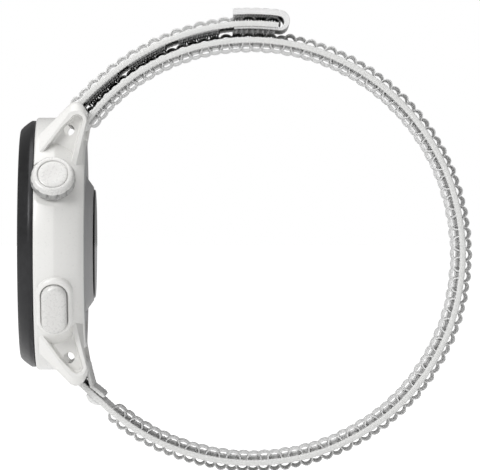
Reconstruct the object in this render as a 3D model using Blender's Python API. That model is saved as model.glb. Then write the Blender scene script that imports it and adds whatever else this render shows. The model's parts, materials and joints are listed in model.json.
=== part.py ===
"""GPS running watch on a closed woven hook-and-loop strap.

World frame, metres: +Z towards 12 o'clock, -X out of the display, -Y towards 3 o'clock.
The origin is the middle of the sensor window's flat outer face.
The watch head is modelled in a face frame: x to 3 o'clock, y to 12 o'clock, z out of the display.
"""
import math

import bmesh
import bpy
from mathutils import Matrix, Vector

MM = 0.001
CLEAR = 0.1 * MM                 # running and assembly clearance between small pieces

# Watch head, face frame heights (z) and radii
CASE_R = 20.95 * MM
CASE_BACK_R = 18.3 * MM
BACK_Z = 1.6 * MM                # back plane, above the sensor window's face
CASE_TOP_Z = 9.8 * MM
CAVITY_R = 16.0 * MM
GROOVE_Z = 9.3 * MM              # floor of the gasket's and the antenna's grooves
COVER_R = 16.4 * MM
COVER_SEAT_Z = 2.8 * MM
BUMP_BASE_R = 11.1 * MM
BUMP_TIP_R = 9.4 * MM
WINDOW_R = 9.0 * MM
BEZEL_R = 20.45 * MM
BEZEL_FRONT_R = 18.95 * MM
FRONT_Z = 12.45 * MM
GLASS_R = 17.2 * MM
GLASS_TOP_Z = 12.3 * MM
PANEL_R = 16.1 * MM

# Lugs and spring bars
LUG_INNER_X = 11.1 * MM
LUG_OUTER_X = 14.6 * MM
LUG_FLOOR_X = 12.9 * MM
BAR_Y = 20.6 * MM
BAR_Z = 2.7 * MM
BAR_R = 0.8 * MM
SCOOP_R = 3.6 * MM
LUG_HOLE_R = 0.9 * MM

# Crown and button, placed around the case from 3 o'clock
CROWN_ANGLE = math.radians(29.5)
BUTTON_ANGLE = math.radians(-30.0)
CROWN_Z = 6.55 * MM
BUTTON_Z = 6.4 * MM
CROWN_FACE_R = 23.2 * MM
CROWN_KNURL_R = 3.68 * MM
CROWN_NOTCHES = 9
BUTTON_LENGTH = 8.8 * MM
BUTTON_WIDTH = 4.15 * MM
BUTTON_FACE_R = 22.4 * MM

# Back screws and charging pins
SCREW_CIRCLE_R = 14.3 * MM
CHARGE_PIN_Y = -13.6 * MM
CHARGE_PIN_PITCH = 2.2 * MM

# Strap, in the world X-Z plane
STRAP_HALF_WIDTH = 11.0 * MM
LOOP_CENTRE = Vector((25.68 * MM, -1.15 * MM))
LOOP_R = 34.95 * MM              # middle of the woven base
TAB_LOW_R = 36.6 * MM            # the end tab's lower and upper legs
TAB_HIGH_R = 39.45 * MM
BASE_HALF = 0.5 * MM             # half of the woven base's thickness
PILE_IN = 1.5 * MM               # base middle to the tops of the inner loops
PILE_OUT = 1.25 * MM             # base middle to the tops of the outer loops
WRAP_R = BAR_R + 0.15 * MM + BASE_HALF
PILE_END = math.radians(79.5)     # from here on the tail presses the outer loops down
PATCH_START = math.radians(138.0)
PATCH_SPAN = math.radians(11.0)
PATCH_PITCH = math.radians(14.5)
PATCH_COUNT = 3
TAIL_END = math.radians(83.2)
TAIL_LINE = (                    # degrees round the loop, and the tail's distance from its centre in mm
    (142.5, 37.21), (138.0, 37.08), (130.0, 37.0), (120.0, 37.06), (110.0, 37.18), (100.0, 37.3),
    (92.0, 37.38), (80.0, 37.38),
)

UPPER_BAR = Vector((-BAR_Z, BAR_Y))
LOWER_BAR = Vector((-BAR_Z, -BAR_Y))

FINISHES = {
    "bezel": ((0.045, 0.045, 0.05), 0.35, 0.8),
    "case": ((0.78, 0.76, 0.72), 0.32, 0.25),
    "glass": ((0.02, 0.02, 0.025), 0.05, 0.0),
    "screen": ((0.01, 0.012, 0.015), 0.25, 0.0),
    "rubber": ((0.03, 0.03, 0.03), 0.75, 0.0),
    "copper": ((0.62, 0.36, 0.2), 0.35, 1.0),
    "chassis": ((0.09, 0.09, 0.1), 0.55, 0.0),
    "board": ((0.02, 0.16, 0.08), 0.45, 0.0),
    "steel": ((0.62, 0.62, 0.63), 0.28, 1.0),
    "cell": ((0.35, 0.36, 0.38), 0.4, 0.6),
    "cover": ((0.33, 0.33, 0.34), 0.5, 0.1),
    "window": ((0.006, 0.006, 0.007), 0.08, 0.0),
    "gold": ((0.83, 0.63, 0.28), 0.25, 1.0),
    "switch": ((0.16, 0.16, 0.17), 0.5, 0.0),
    "crown": ((0.8, 0.78, 0.75), 0.25, 0.9),
    "weave": ((0.86, 0.86, 0.84), 0.85, 0.0),
    "hooks": ((0.2, 0.2, 0.21), 0.8, 0.0),
    "tab": ((0.8, 0.8, 0.79), 0.7, 0.0),
}


def clear_scene():
    for thing in list(bpy.data.objects):
        bpy.data.objects.remove(thing, do_unlink=True)


def make_finish(name):
    colour, roughness, metallic = FINISHES[name]
    finish = bpy.data.materials.new(name)
    finish.use_nodes = True
    shader = finish.node_tree.nodes["Principled BSDF"]
    shader.inputs["Base Color"].default_value = (*colour, 1.0)
    shader.inputs["Roughness"].default_value = roughness
    shader.inputs["Metallic"].default_value = metallic
    finish.diffuse_color = (*colour, 1.0)
    return finish


def make_empty(name, matrix, parent=None):
    empty = bpy.data.objects.new(name, None)
    empty.empty_display_size = 5 * MM
    bpy.context.collection.objects.link(empty)
    empty.parent = parent
    empty.matrix_local = matrix
    return empty


def from_bmesh(name, bm):
    bmesh.ops.recalc_face_normals(bm, faces=bm.faces)
    mesh = bpy.data.meshes.new(name)
    bm.to_mesh(mesh)
    bm.free()
    piece = bpy.data.objects.new(name, mesh)
    bpy.context.collection.objects.link(piece)
    return piece


def dress(piece, finish, parent=None):
    piece.data.materials.clear()
    piece.data.materials.append(finishes[finish])
    piece.data.shade_smooth()
    piece.data.set_sharp_from_angle(angle=math.radians(32))
    piece.parent = parent
    return piece


def turned(name, profile, segments=32):
    """A closed (radius, height) outline spun about local Z; points on the axis become poles."""
    bm = bmesh.new()
    rings = []
    for radius, height in profile:
        if radius == 0.0:
            rings.append([bm.verts.new((0.0, 0.0, height))])
            continue
        ring = []
        for step in range(segments):
            angle = 2.0 * math.pi * step / segments
            ring.append(bm.verts.new((radius * math.cos(angle), radius * math.sin(angle), height)))
        rings.append(ring)
    for index, ring in enumerate(rings):
        following = rings[(index + 1) % len(rings)]
        if len(ring) == 1 and len(following) == 1:
            continue
        for step in range(segments):
            other = (step + 1) % segments
            if len(ring) == 1:
                bm.faces.new((ring[0], following[other], following[step]))
            elif len(following) == 1:
                bm.faces.new((ring[step], ring[other], following[0]))
            else:
                bm.faces.new((ring[step], ring[other], following[other], following[step]))
    return from_bmesh(name, bm)


def lofted(name, sections, place=lambda u, v, w: (u, v, w)):
    """Outlines of equal length at rising heights, joined by walls and capped at both ends."""
    bm = bmesh.new()
    rings = [[bm.verts.new(place(u, v, height)) for u, v in outline] for outline, height in sections]
    for low, high in zip(rings, rings[1:]):
        for step in range(len(low)):
            other = (step + 1) % len(low)
            bm.faces.new((low[step], low[other], high[other], high[step]))
    bm.faces.new(rings[0])
    bm.faces.new(rings[-1])
    return from_bmesh(name, bm)


def along_x(u, v, w):
    """Section (height z, up y) at distance w along the face frame's x."""
    return (w, v, u)


def block(name, centre, size, place=lambda u, v, w: (u, v, w)):
    half = [part / 2.0 for part in size]
    outline = [(-half[0], -half[1]), (half[0], -half[1]), (half[0], half[1]), (-half[0], half[1])]
    outline = [(centre[0] + u, centre[1] + v) for u, v in outline]
    return lofted(name, [(outline, centre[2] - half[2]), (outline, centre[2] + half[2])], place)


def rod(name, radius, low, high, segments=24):
    return turned(name, [(0.0, low), (radius, low), (radius, high), (0.0, high)], segments)


def tube(name, inner, outer, low, high, segments=32):
    return turned(name, [(inner, low), (outer, low), (outer, high), (inner, high)], segments)


def seal_ring(name, middle, thickness, height, segments=20, sides=6):
    profile = []
    for side in range(sides):
        angle = 2.0 * math.pi * side / sides
        profile.append((middle + thickness * math.cos(angle), height + thickness * math.sin(angle)))
    return turned(name, profile, segments)


def coil(name, middle, wire, low, high, turns=3, steps=10, sides=5):
    """A helical spring about local Z with capped wire ends."""
    count = turns * steps
    bm = bmesh.new()
    rings = []
    for step in range(count + 1):
        angle = 2.0 * math.pi * step / steps
        height = low + wire + (high - low - 2.0 * wire) * step / count
        outward = Vector((math.cos(angle), math.sin(angle), 0.0))
        ring = []
        for side in range(sides):
            turn = 2.0 * math.pi * side / sides
            reach = middle + wire * math.cos(turn)
            ring.append(bm.verts.new(outward * reach + Vector((0.0, 0.0, height + wire * math.sin(turn)))))
        rings.append(ring)
    for low_ring, high_ring in zip(rings, rings[1:]):
        for side in range(sides):
            other = (side + 1) % sides
            bm.faces.new((low_ring[side], low_ring[other], high_ring[other], high_ring[side]))
    bm.faces.new(rings[0])
    bm.faces.new(rings[-1])
    return from_bmesh(name, bm)


def move_mesh(piece, matrix):
    piece.data.transform(matrix)
    return piece


def combine(target, tool, operation="DIFFERENCE"):
    """Applies a Boolean at once and removes the tool."""
    modifier = target.modifiers.new("combine", "BOOLEAN")
    modifier.object = tool
    modifier.operation = operation
    modifier.solver = "EXACT"
    graph = bpy.context.evaluated_depsgraph_get()
    result = bpy.data.meshes.new_from_object(target.evaluated_get(graph))
    target.modifiers.clear()
    target.data = result
    bpy.data.objects.remove(tool, do_unlink=True)
    return target


def pill(length, width, steps=7):
    """Outline of a bar with round ends, along the first axis."""
    radius = width / 2.0
    straight = length / 2.0 - radius
    outline = []
    for side in (1, -1):
        for step in range(steps + 1):
            angle = -math.pi / 2.0 + math.pi * step / steps
            outline.append((side * (straight + radius * math.cos(angle)), side * radius * math.sin(angle)))
    return outline


def round_block_outline(centre, size, radius, steps=4):
    outline = []
    for corner, (sx, sy) in enumerate(((1, 1), (-1, 1), (-1, -1), (1, -1))):
        for step in range(steps + 1):
            angle = math.pi / 2.0 * (corner + step / steps)
            outline.append((centre[0] + sx * (size[0] / 2.0 - radius) + radius * math.cos(angle),
                            centre[1] + sy * (size[1] / 2.0 - radius) + radius * math.sin(angle)))
    return outline


def arc_points(centre, radius, start, stop, steps):
    return [Vector((centre[0] + radius * math.cos(start + (stop - start) * step / steps),
                    centre[1] + radius * math.sin(start + (stop - start) * step / steps)))
            for step in range(steps + 1)]


# Watch head ---------------------------------------------------------------------------------

def radial_frame(angle, height):
    """Axes of a piece in the case wall: x around the case, y to the display, z outwards."""
    outward = Vector((math.cos(angle), math.sin(angle), 0.0))
    up = Vector((0.0, 0.0, 1.0))
    around = up.cross(outward)
    matrix = Matrix((around, up, outward)).transposed().to_4x4()
    return Matrix.Translation((0.0, 0.0, height)) @ matrix


def screw_place(index):
    """The back screws stand between the lugs and the crown, a quarter turn apart."""
    angle = math.radians(45 + 90 * index)
    return Matrix.Translation((SCREW_CIRCLE_R * math.cos(angle), SCREW_CIRCLE_R * math.sin(angle), 0.0))


def hairpin(front, tip_centre, tip_size, back):
    """Side view (z, y) of the upper lug: a front edge, an elliptical tip and a back edge."""
    tip = [(tip_centre[0] + tip_size[0] * math.cos(turn), tip_centre[1] + tip_size[1] * math.sin(turn))
           for turn in (math.radians(48 + 132 * step / 8) for step in range(9))]
    return [(z * MM, y * MM) for z, y in front + tip + back]


def make_lug(side, end):
    """The side faces slope from the wide foot outline in to the flat top of the rib."""
    foot = hairpin([(9.0, 12.0), (9.0, 17.9), (6.2, 20.7)], (3.0, 20.6), (1.95, 2.7),
                   [(1.7, 16.9), (1.9, 12.0)])
    top = hairpin([(8.9, 12.0), (9.0, 15.0), (6.2, 18.7)], (2.95, 20.1), (1.79, 1.79),
                  [(2.0, 16.8), (3.1, 12.0)])
    sections = [(foot, LUG_INNER_X), (foot, LUG_OUTER_X - 1.3 * MM), (top, LUG_OUTER_X)]

    def place(u, v, w):
        return (side * w, end * v, u)

    lug = lofted("lug", sections, place)
    hollow = hairpin([(8.2, 12.2), (8.2, 15.2), (5.4, 18.9)], (2.75, 20.2), (1.02, 1.02),
                     [(2.6, 17.2), (4.1, 12.2)])
    combine(lug, lofted("hollow", [(hollow, LUG_FLOOR_X), (hollow, 17 * MM)], place))
    eye = [(4.1 * MM + LUG_HOLE_R * math.cos(turn), 18.7 * MM + LUG_HOLE_R * math.sin(turn))
           for turn in (2.0 * math.pi * step / 12 for step in range(12))]
    combine(lug, lofted("eye", [(eye, 9 * MM), (eye, 17 * MM)], place))
    return lug


def make_mid_case():
    profile = [
        (COVER_R + CLEAR, BACK_Z), (CASE_BACK_R, BACK_Z), (19.4 * MM, 2.8 * MM), (20.45 * MM, 4.7 * MM),
        (CASE_R, 6.4 * MM), (CASE_R, 9.5 * MM), (20.65 * MM, CASE_TOP_Z),
        (20.1 * MM, CASE_TOP_Z), (20.1 * MM, GROOVE_Z), (18.8 * MM, GROOVE_Z), (18.8 * MM, CASE_TOP_Z),
        (18.45 * MM, CASE_TOP_Z), (18.45 * MM, GROOVE_Z), (17.0 * MM, GROOVE_Z), (17.0 * MM, 9.5 * MM),
        (CAVITY_R, 9.5 * MM), (CAVITY_R, COVER_SEAT_Z), (COVER_R + CLEAR, COVER_SEAT_Z),
    ]
    case = turned("mid_case", profile, 64)
    for end in (1, -1):
        scoop = [(BAR_Z + SCOOP_R * math.cos(turn), end * BAR_Y + SCOOP_R * math.sin(turn))
                 for turn in (2.0 * math.pi * step / 32 for step in range(32))]
        combine(case, lofted("scoop", [(scoop, -LUG_INNER_X), (scoop, LUG_INNER_X)], along_x))
    for side in (1, -1):
        for end in (1, -1):
            combine(case, make_lug(side, end), "UNION")
    for index in range(4):
        shift = screw_place(index)
        combine(case, move_mesh(rod("boss", 1.9 * MM, COVER_SEAT_Z, 6.0 * MM, 14), shift), "UNION")
        combine(case, move_mesh(rod("thread", 0.62 * MM, 0.0, 5.2 * MM, 10), shift))
    crown_frame = radial_frame(CROWN_ANGLE, CROWN_Z)
    combine(case, move_mesh(rod("well", 4.5 * MM, 20.35 * MM, 26 * MM, 28), crown_frame))
    combine(case, move_mesh(rod("bore", 2.0 * MM, 14 * MM, 26 * MM, 20), crown_frame))
    button_frame = radial_frame(BUTTON_ANGLE, BUTTON_Z)
    rim = pill(BUTTON_LENGTH + 1.5 * MM, BUTTON_WIDTH + 1.5 * MM)
    rim_top = pill(BUTTON_LENGTH + 1.0 * MM, BUTTON_WIDTH + 1.0 * MM)
    surround = lofted("surround", [(rim, 17.5 * MM), (rim, 21.0 * MM), (rim_top, 21.25 * MM)])
    combine(case, move_mesh(surround, button_frame), "UNION")
    pocket = pill(BUTTON_LENGTH + 3 * CLEAR, BUTTON_WIDTH + 3 * CLEAR)
    combine(case, move_mesh(lofted("pocket", [(pocket, 20.1 * MM), (pocket, 26 * MM)]), button_frame))
    steps = [(0.0, 14 * MM), (0.9 * MM, 14 * MM), (0.9 * MM, 16.9 * MM), (1.42 * MM, 16.9 * MM),
             (1.42 * MM, 17.6 * MM), (0.9 * MM, 17.6 * MM), (0.9 * MM, 18.5 * MM), (1.45 * MM, 18.5 * MM),
             (1.45 * MM, 26 * MM), (0.0, 26 * MM)]
    combine(case, move_mesh(turned("stepped_bore", steps, 14), button_frame))
    for side in (1, -1):
        for end in (1, -1):
            socket = [(BAR_Z + 0.6 * MM * math.cos(turn), end * BAR_Y + 0.6 * MM * math.sin(turn))
                      for turn in (2.0 * math.pi * step / 10 for step in range(10))]
            ends = sorted((side * 9.5 * MM, side * 12.35 * MM))
            combine(case, lofted("socket", [(socket, ends[0]), (socket, ends[1])], along_x))
    return dress(case, "case", face)


def make_bezel():
    profile = [
        (BEZEL_R, 9.92 * MM), (BEZEL_R, 10.55 * MM), (20.0 * MM, 11.25 * MM), (19.46 * MM, 11.92 * MM),
        (BEZEL_FRONT_R, FRONT_Z - 0.08 * MM), (18.6 * MM, FRONT_Z), (17.75 * MM, FRONT_Z),
        (GLASS_R + 0.15 * MM, 12.3 * MM), (GLASS_R + 0.15 * MM, 11.05 * MM), (16.3 * MM, 11.05 * MM),
        (16.3 * MM, 9.92 * MM),
    ]
    return dress(turned("bezel", profile, 64), "bezel", face)


def make_display():
    glass = turned("display_glass", [(0.0, 11.2 * MM), (GLASS_R, 11.2 * MM), (GLASS_R, 12.15 * MM),
                                     (GLASS_R - 0.15 * MM, GLASS_TOP_Z), (0.0, GLASS_TOP_Z)], 48)
    dress(glass, "glass", face)
    dress(rod("display_panel", PANEL_R, 9.9 * MM, 11.1 * MM, 48), "screen", face)
    dress(tube("bezel_gasket", 17.1 * MM, 18.35 * MM, GROOVE_Z + 0.05 * MM, 9.85 * MM, 48),
          "rubber", face)
    points = []
    for radius, reverse in ((18.9 * MM, False), (20.0 * MM, True)):
        arc = [(radius * math.cos(turn), radius * math.sin(turn))
               for turn in (math.radians(100 + 340 * step / 40) for step in range(41))]
        points += reversed(arc) if reverse else arc
    antenna = lofted("gps_antenna", [(points, GROOVE_Z + 0.05 * MM), (points, 9.75 * MM)])
    dress(antenna, "copper", face)


def make_inner_parts():
    frame_profile = [(15.3 * MM, 8.25 * MM), (15.8 * MM, 8.25 * MM), (15.8 * MM, 9.65 * MM),
                     (12.0 * MM, 9.65 * MM), (12.0 * MM, 9.25 * MM), (15.3 * MM, 9.25 * MM)]
    dress(turned("inner_frame", frame_profile, 40), "chassis", face)
    dress(rod("main_board", 15.1 * MM, 8.3 * MM, 9.1 * MM, 40), "board", face)
    dress(block("radio_shield", (-6.0 * MM, 4.4 * MM, 7.65 * MM), (9 * MM, 7.6 * MM, 1.1 * MM)), "steel", face)
    dress(block("processor_shield", (-6.0 * MM, -4.4 * MM, 7.65 * MM), (9 * MM, 7.6 * MM, 1.1 * MM)),
          "steel", face)
    cell = round_block_outline((-3.0 * MM, 0.0), (19 * MM, 16 * MM), 2 * MM)
    dress(lofted("battery", [(cell, 2.95 * MM), (cell, 6.6 * MM)]), "cell", face)
    motor = turned("vibration_motor", [(0.0, 3.6 * MM), (3.1 * MM, 3.6 * MM), (3.3 * MM, 3.8 * MM),
                                       (3.3 * MM, 6.0 * MM), (3.1 * MM, 6.2 * MM), (0.0, 6.2 * MM)], 28)
    dress(move_mesh(motor, Matrix.Translation((-1.0 * MM, -11.7 * MM, 0.0))), "steel", face)
    sensor = turned("pressure_sensor", [(0.4 * MM, 4.2 * MM), (1.9 * MM, 4.2 * MM), (1.9 * MM, 5.0 * MM),
                                        (1.2 * MM, 5.0 * MM), (1.2 * MM, 6.2 * MM), (0.4 * MM, 6.2 * MM)], 20)
    dress(move_mesh(sensor, Matrix.Translation((-1.0 * MM, 11.9 * MM, 0.0))), "steel", face)


def make_back_cover():
    profile = [
        (COVER_R, 2.7 * MM), (COVER_R, 2.55 * MM), (COVER_R - 0.5 * MM, 2.55 * MM),
        (COVER_R - 0.5 * MM, 1.95 * MM), (COVER_R, 1.95 * MM), (COVER_R, BACK_Z + 0.15 * MM),
        (COVER_R - 0.15 * MM, BACK_Z),
        (BUMP_BASE_R, BACK_Z), (BUMP_TIP_R, 0.12 * MM), (BUMP_TIP_R - 0.1 * MM, 0.06 * MM),
        (WINDOW_R + CLEAR, 0.06 * MM), (WINDOW_R + CLEAR, 0.9 * MM), (8.0 * MM, 0.9 * MM),
        (8.0 * MM, 2.3 * MM), (10.2 * MM, 2.3 * MM), (10.2 * MM, 2.7 * MM),
    ]
    cover = turned("back_cover", profile, 48)
    for index in range(4):
        shift = screw_place(index)
        steps = [(0.0, 0.0), (1.3 * MM, 0.0), (1.3 * MM, 2.25 * MM), (0.7 * MM, 2.25 * MM),
                 (0.7 * MM, 4.0 * MM), (0.0, 4.0 * MM)]
        combine(cover, move_mesh(turned("screw_seat", steps, 12), shift))
    for index in range(4):
        shift = Matrix.Translation(((index - 1.5) * CHARGE_PIN_PITCH, CHARGE_PIN_Y, 0.0))
        combine(cover, move_mesh(rod("pin_hole", 0.75 * MM, 0.0, 4.0 * MM, 10), shift))
    dress(cover, "cover", face)
    ring = seal_ring("cover_gasket", 16.17 * MM, 0.2 * MM, 2.25 * MM, 48, 5)
    dress(ring, "rubber", face)


def make_back_screw(index):
    profile = [(0.0, 1.68 * MM), (1.0 * MM, 1.68 * MM), (1.2 * MM, 1.8 * MM), (1.2 * MM, 2.2 * MM),
               (0.5 * MM, 2.2 * MM), (0.5 * MM, 4.9 * MM), (0.0, 5.1 * MM)]
    screw = turned("back_screw_%d" % (index + 1), profile, 14)
    combine(screw, turned("drive", [(0.0, 1.0 * MM), (0.55 * MM, 1.0 * MM), (0.55 * MM, 2.05 * MM),
                                    (0.0, 2.05 * MM)], 6))
    dress(screw, "steel", face)
    screw.location = screw_place(index).translation


def make_charge_pin(index):
    profile = [(0.0, 1.63 * MM), (0.5 * MM, 1.63 * MM), (0.62 * MM, 1.75 * MM), (0.62 * MM, 3.4 * MM),
               (0.0, 3.4 * MM)]
    pin = dress(turned("charge_pin_%d" % (index + 1), profile, 12), "gold", face)
    pin.location = ((index - 1.5) * CHARGE_PIN_PITCH, CHARGE_PIN_Y, 0.0)


def make_sensor():
    window = turned("sensor_window", [(0.0, 0.0), (WINDOW_R - 0.2 * MM, 0.0), (WINDOW_R, 0.15 * MM),
                                      (WINDOW_R, 0.8 * MM), (0.0, 0.8 * MM)], 48)
    dress(window, "window", face)
    barrier = rod("light_barrier", 7.8 * MM, 0.95 * MM, 1.85 * MM, 40)
    cells = [(0.0, 0.0, 2.6), (3.6, 0.0, 1.9), (-3.6, 0.0, 1.9), (0.0, 3.6, 1.9), (0.0, -3.6, 1.9)]
    for x, y, size in cells:
        combine(barrier, block("cell", (x * MM, y * MM, 1.4 * MM), (size * MM, size * MM, 3 * MM)))
    dress(barrier, "chassis", face)
    dress(rod("sensor_board", 7.8 * MM, 1.95 * MM, 2.5 * MM, 40), "board", face)
    for name, x, y in (("light_diode_green", 3.6, 0.0), ("light_diode_red", -3.6, 0.0),
                       ("light_diode_infrared", 0.0, 3.6), ("photodiode", 0.0, 0.0)):
        dress(block(name, (x * MM, y * MM, 1.5 * MM), (1.4 * MM, 1.4 * MM, 0.7 * MM)), "gold", face)
    route = [(6.9, 2.6), (8.9, 2.6), (8.9, 8.15), (8.7, 8.15), (8.7, 2.8), (6.9, 2.8)]
    outline = [(x * MM, z * MM) for x, z in route]
    flex = lofted("sensor_flex", [(outline, -2 * MM), (outline, 2 * MM)], lambda u, v, w: (u, w, v))
    dress(flex, "copper", face)


# Crown, about its own axis empty --------------------------------------------------------------

def knurl_outline(radius, depth):
    outline = []
    for notch in range(CROWN_NOTCHES):
        for share, pull in ((0.0, 1.0), (0.16, 0.25), (0.24, 0.0), (0.5, 0.0), (0.76, 0.0), (0.84, 0.25)):
            angle = 2.0 * math.pi * (notch + share) / CROWN_NOTCHES
            reach = radius - depth * pull
            outline.append((reach * math.cos(angle), reach * math.sin(angle)))
    return outline


def make_crown():
    knob = lofted("crown_knob", [
        (knurl_outline(3.5 * MM, 0.3 * MM), 20.85 * MM), (knurl_outline(CROWN_KNURL_R, 0.4 * MM), 21.1 * MM),
        (knurl_outline(CROWN_KNURL_R, 0.4 * MM), 22.0 * MM), (knurl_outline(3.45 * MM, 0.2 * MM), 22.5 * MM),
        (knurl_outline(3.1 * MM, 0.0), 22.85 * MM), (knurl_outline(2.95 * MM, 0.0), CROWN_FACE_R)])
    combine(knob, rod("pocket", 2.55 * MM, 22.55 * MM, 25 * MM, 40))
    combine(knob, rod("bore", 0.9 * MM, 18 * MM, 24 * MM, 20))
    dress(knob, "crown", crown)
    dress(turned("crown_cap", [(0.0, 22.65 * MM), (2.43 * MM, 22.65 * MM), (2.43 * MM, 23.0 * MM),
                               (2.33 * MM, 23.1 * MM), (0.0, 23.1 * MM)], 40), "crown", crown)
    shaft = rod("crown_shaft", 0.8 * MM, 14.9 * MM, 22.5 * MM, 20)
    combine(shaft, rod("hex", 0.7 * MM, 12.6 * MM, 15.5 * MM, 6), "UNION")
    dress(shaft, "steel", crown)
    bush = turned("crown_bush", [(0.88 * MM, 16.35 * MM), (1.9 * MM, 16.35 * MM), (1.9 * MM, 20.3 * MM),
                                 (1.5 * MM, 20.3 * MM), (1.5 * MM, 19.3 * MM), (0.88 * MM, 19.3 * MM)], 28)
    dress(bush, "steel", crown)
    dress(seal_ring("crown_seal", 1.18 * MM, 0.26 * MM, 19.7 * MM), "rubber", crown)
    dress(tube("crown_clip", 0.87 * MM, 1.6 * MM, 15.9 * MM, 16.2 * MM, 24), "steel", crown)
    dress(coil("crown_spring", 1.15 * MM, 0.14 * MM, 14.45 * MM, 15.85 * MM), "steel", crown)
    wheel = rod("encoder_wheel", 1.6 * MM, 13.4 * MM, 14.35 * MM, 24)
    combine(wheel, rod("hex_hole", 0.85 * MM, 12 * MM, 16 * MM, 6))
    dress(wheel, "rubber", crown)
    dress(block("encoder_chip", (0.0, -2.5 * MM, 13.85 * MM), (1.8 * MM, 1.0 * MM, 1.8 * MM)), "switch", crown)
    dress(block("crown_switch", (0.0, 0.0, 11.35 * MM), (3.2 * MM, 2.4 * MM, 1.5 * MM)), "switch", crown)


def make_button():
    size = pill(BUTTON_LENGTH, BUTTON_WIDTH)
    small = pill(BUTTON_LENGTH - 0.7 * MM, BUTTON_WIDTH - 0.7 * MM)
    cap = lofted("button_cap", [(size, 20.6 * MM), (size, 22.05 * MM), (small, BUTTON_FACE_R)])
    combine(cap, rod("blind_bore", 0.85 * MM, 18 * MM, 21.5 * MM, 20))
    dress(cap, "crown", button)
    dress(rod("button_shaft", 0.75 * MM, 13.95 * MM, 21.4 * MM, 20), "steel", button)
    dress(seal_ring("button_seal", 1.09 * MM, 0.26 * MM, 17.25 * MM), "rubber", button)
    dress(coil("button_spring", 1.15 * MM, 0.14 * MM, 18.6 * MM, 20.5 * MM), "steel", button)
    dress(tube("button_clip", 0.84 * MM, 1.5 * MM, 15.4 * MM, 15.7 * MM, 24), "steel", button)
    dress(block("button_switch", (0.0, 0.0, 12.6 * MM), (3.2 * MM, 2.4 * MM, 1.5 * MM)), "switch", button)


# Spring bars, along the world Y axis ------------------------------------------------------------

def make_spring_bar(name, end):
    """A tube with a sprung pin at each end; each pin is drawn on its own slide axis."""
    centre = (0.0, end * BAR_Y, BAR_Z)
    turn = Matrix.Rotation(math.radians(90), 4, "Y")
    body = tube(name + "_bar_tube", 0.55 * MM, BAR_R, -10.6 * MM, 10.6 * MM, 20)
    dress(move_mesh(body, turn), "steel", face).location = centre
    for side, label in ((1, "near"), (-1, "far")):
        profile = [(0.0, 7.6 * MM), (0.45 * MM, 7.6 * MM), (0.45 * MM, 12.0 * MM), (0.35 * MM, 12.2 * MM),
                   (0.0, 12.2 * MM)]
        pin = turned("%s_bar_pin_%s" % (name, label), profile, 16)
        move_mesh(pin, Matrix.Rotation(math.radians(90 * side), 4, "Y"))
        dress(pin, "steel", face).location = centre


# Strap -----------------------------------------------------------------------------------------

def ribbon(name, line, inner, outer, finish):
    """A strip of the strap: the line is its base's middle, offset to the right and to the left."""
    right, left = [], []
    for index, point in enumerate(line):
        ahead = line[min(index + 1, len(line) - 1)]
        behind = line[max(index - 1, 0)]
        along = (ahead - behind).normalized()
        side = Vector((along.y, -along.x))
        right.append(point + side * outer[index])
        left.append(point - side * inner[index])
    outline = [(point.x, point.y) for point in right + left[::-1]]
    strip = lofted(name, [(outline, -STRAP_HALF_WIDTH), (outline, STRAP_HALF_WIDTH)],
                   lambda u, v, w: (u, w, v))
    return dress(strip, finish)


def direction_angle(vector):
    return math.atan2(vector.y, vector.x)


def make_strap_band():
    """From the hem at the lower bar, round the wrist, to the wrap over the upper bar."""
    to_bar = LOWER_BAR - LOOP_CENTRE
    lean = math.acos((LOOP_R - WRAP_R) / to_bar.length)
    leave = direction_angle(to_bar) + lean
    hem_end = Vector((2.0 * MM, -25.3 * MM))
    to_hem = hem_end - LOWER_BAR
    turn = direction_angle(to_hem) + math.acos(WRAP_R / to_hem.length)
    line = [hem_end] + arc_points(LOWER_BAR, WRAP_R, turn, leave + 2.0 * math.pi, 12)
    hem_count = len(line)
    upper_angle = direction_angle(UPPER_BAR - LOOP_CENTRE)
    upper_reach = (UPPER_BAR - LOOP_CENTRE).length
    steps = 64
    for step in range(steps + 1):
        angle = leave + (upper_angle - leave) * step / steps
        share = max(0.0, (step / steps - 0.9) / 0.1)
        reach = LOOP_R + (upper_reach - WRAP_R - LOOP_R) * share * share
        line.append(LOOP_CENTRE + reach * Vector((math.cos(angle), math.sin(angle))))
    loop_count = len(line) - hem_count
    line += arc_points(UPPER_BAR, WRAP_R, upper_angle + math.pi, upper_angle + math.radians(8), 10)[1:]
    wrap_count = len(line) - hem_count - loop_count
    inner = [BASE_HALF] * hem_count + [PILE_IN] * loop_count + [BASE_HALF] * wrap_count
    outer = [BASE_HALF] * hem_count
    for step in range(loop_count):
        angle = leave + (upper_angle - leave) * step / steps
        outer.append(PILE_OUT if angle < PILE_END else BASE_HALF)
    outer += [BASE_HALF] * wrap_count
    for index in list(range(hem_count, hem_count + 3)) + list(range(hem_count + loop_count - 3,
                                                                      hem_count + loop_count)):
        inner[index] = BASE_HALF
        outer[index] = BASE_HALF
    return ribbon("strap_band", line, inner, outer, "weave")


def tail_reach(angle):
    """The tail's distance from the loop's centre: it lies down on the band and rises over the end tab."""
    degrees = math.degrees(angle)
    for (first, first_reach), (last, last_reach) in zip(TAIL_LINE, TAIL_LINE[1:]):
        if degrees >= last:
            share = (first - degrees) / (first - last)
            return (first_reach + (last_reach - first_reach) * share) * MM
    return TAIL_LINE[-1][1] * MM


def make_strap_tail():
    """Over the outside of the band, from the upper bar to the hook tab."""
    start = direction_angle(UPPER_BAR - LOOP_CENTRE) - math.radians(1.0)
    steps = 30
    line, inner, outer = [], [], []
    for step in range(steps + 1):
        share = step / steps
        angle = start + (TAIL_END - start) * share
        line.append(LOOP_CENTRE + tail_reach(angle) * Vector((math.cos(angle), math.sin(angle))))
        inner.append(BASE_HALF)
        outer.append(BASE_HALF if share < 0.06 else PILE_OUT + 0.15 * MM)
    return ribbon("strap_tail", line, outer, inner, "weave")


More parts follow.
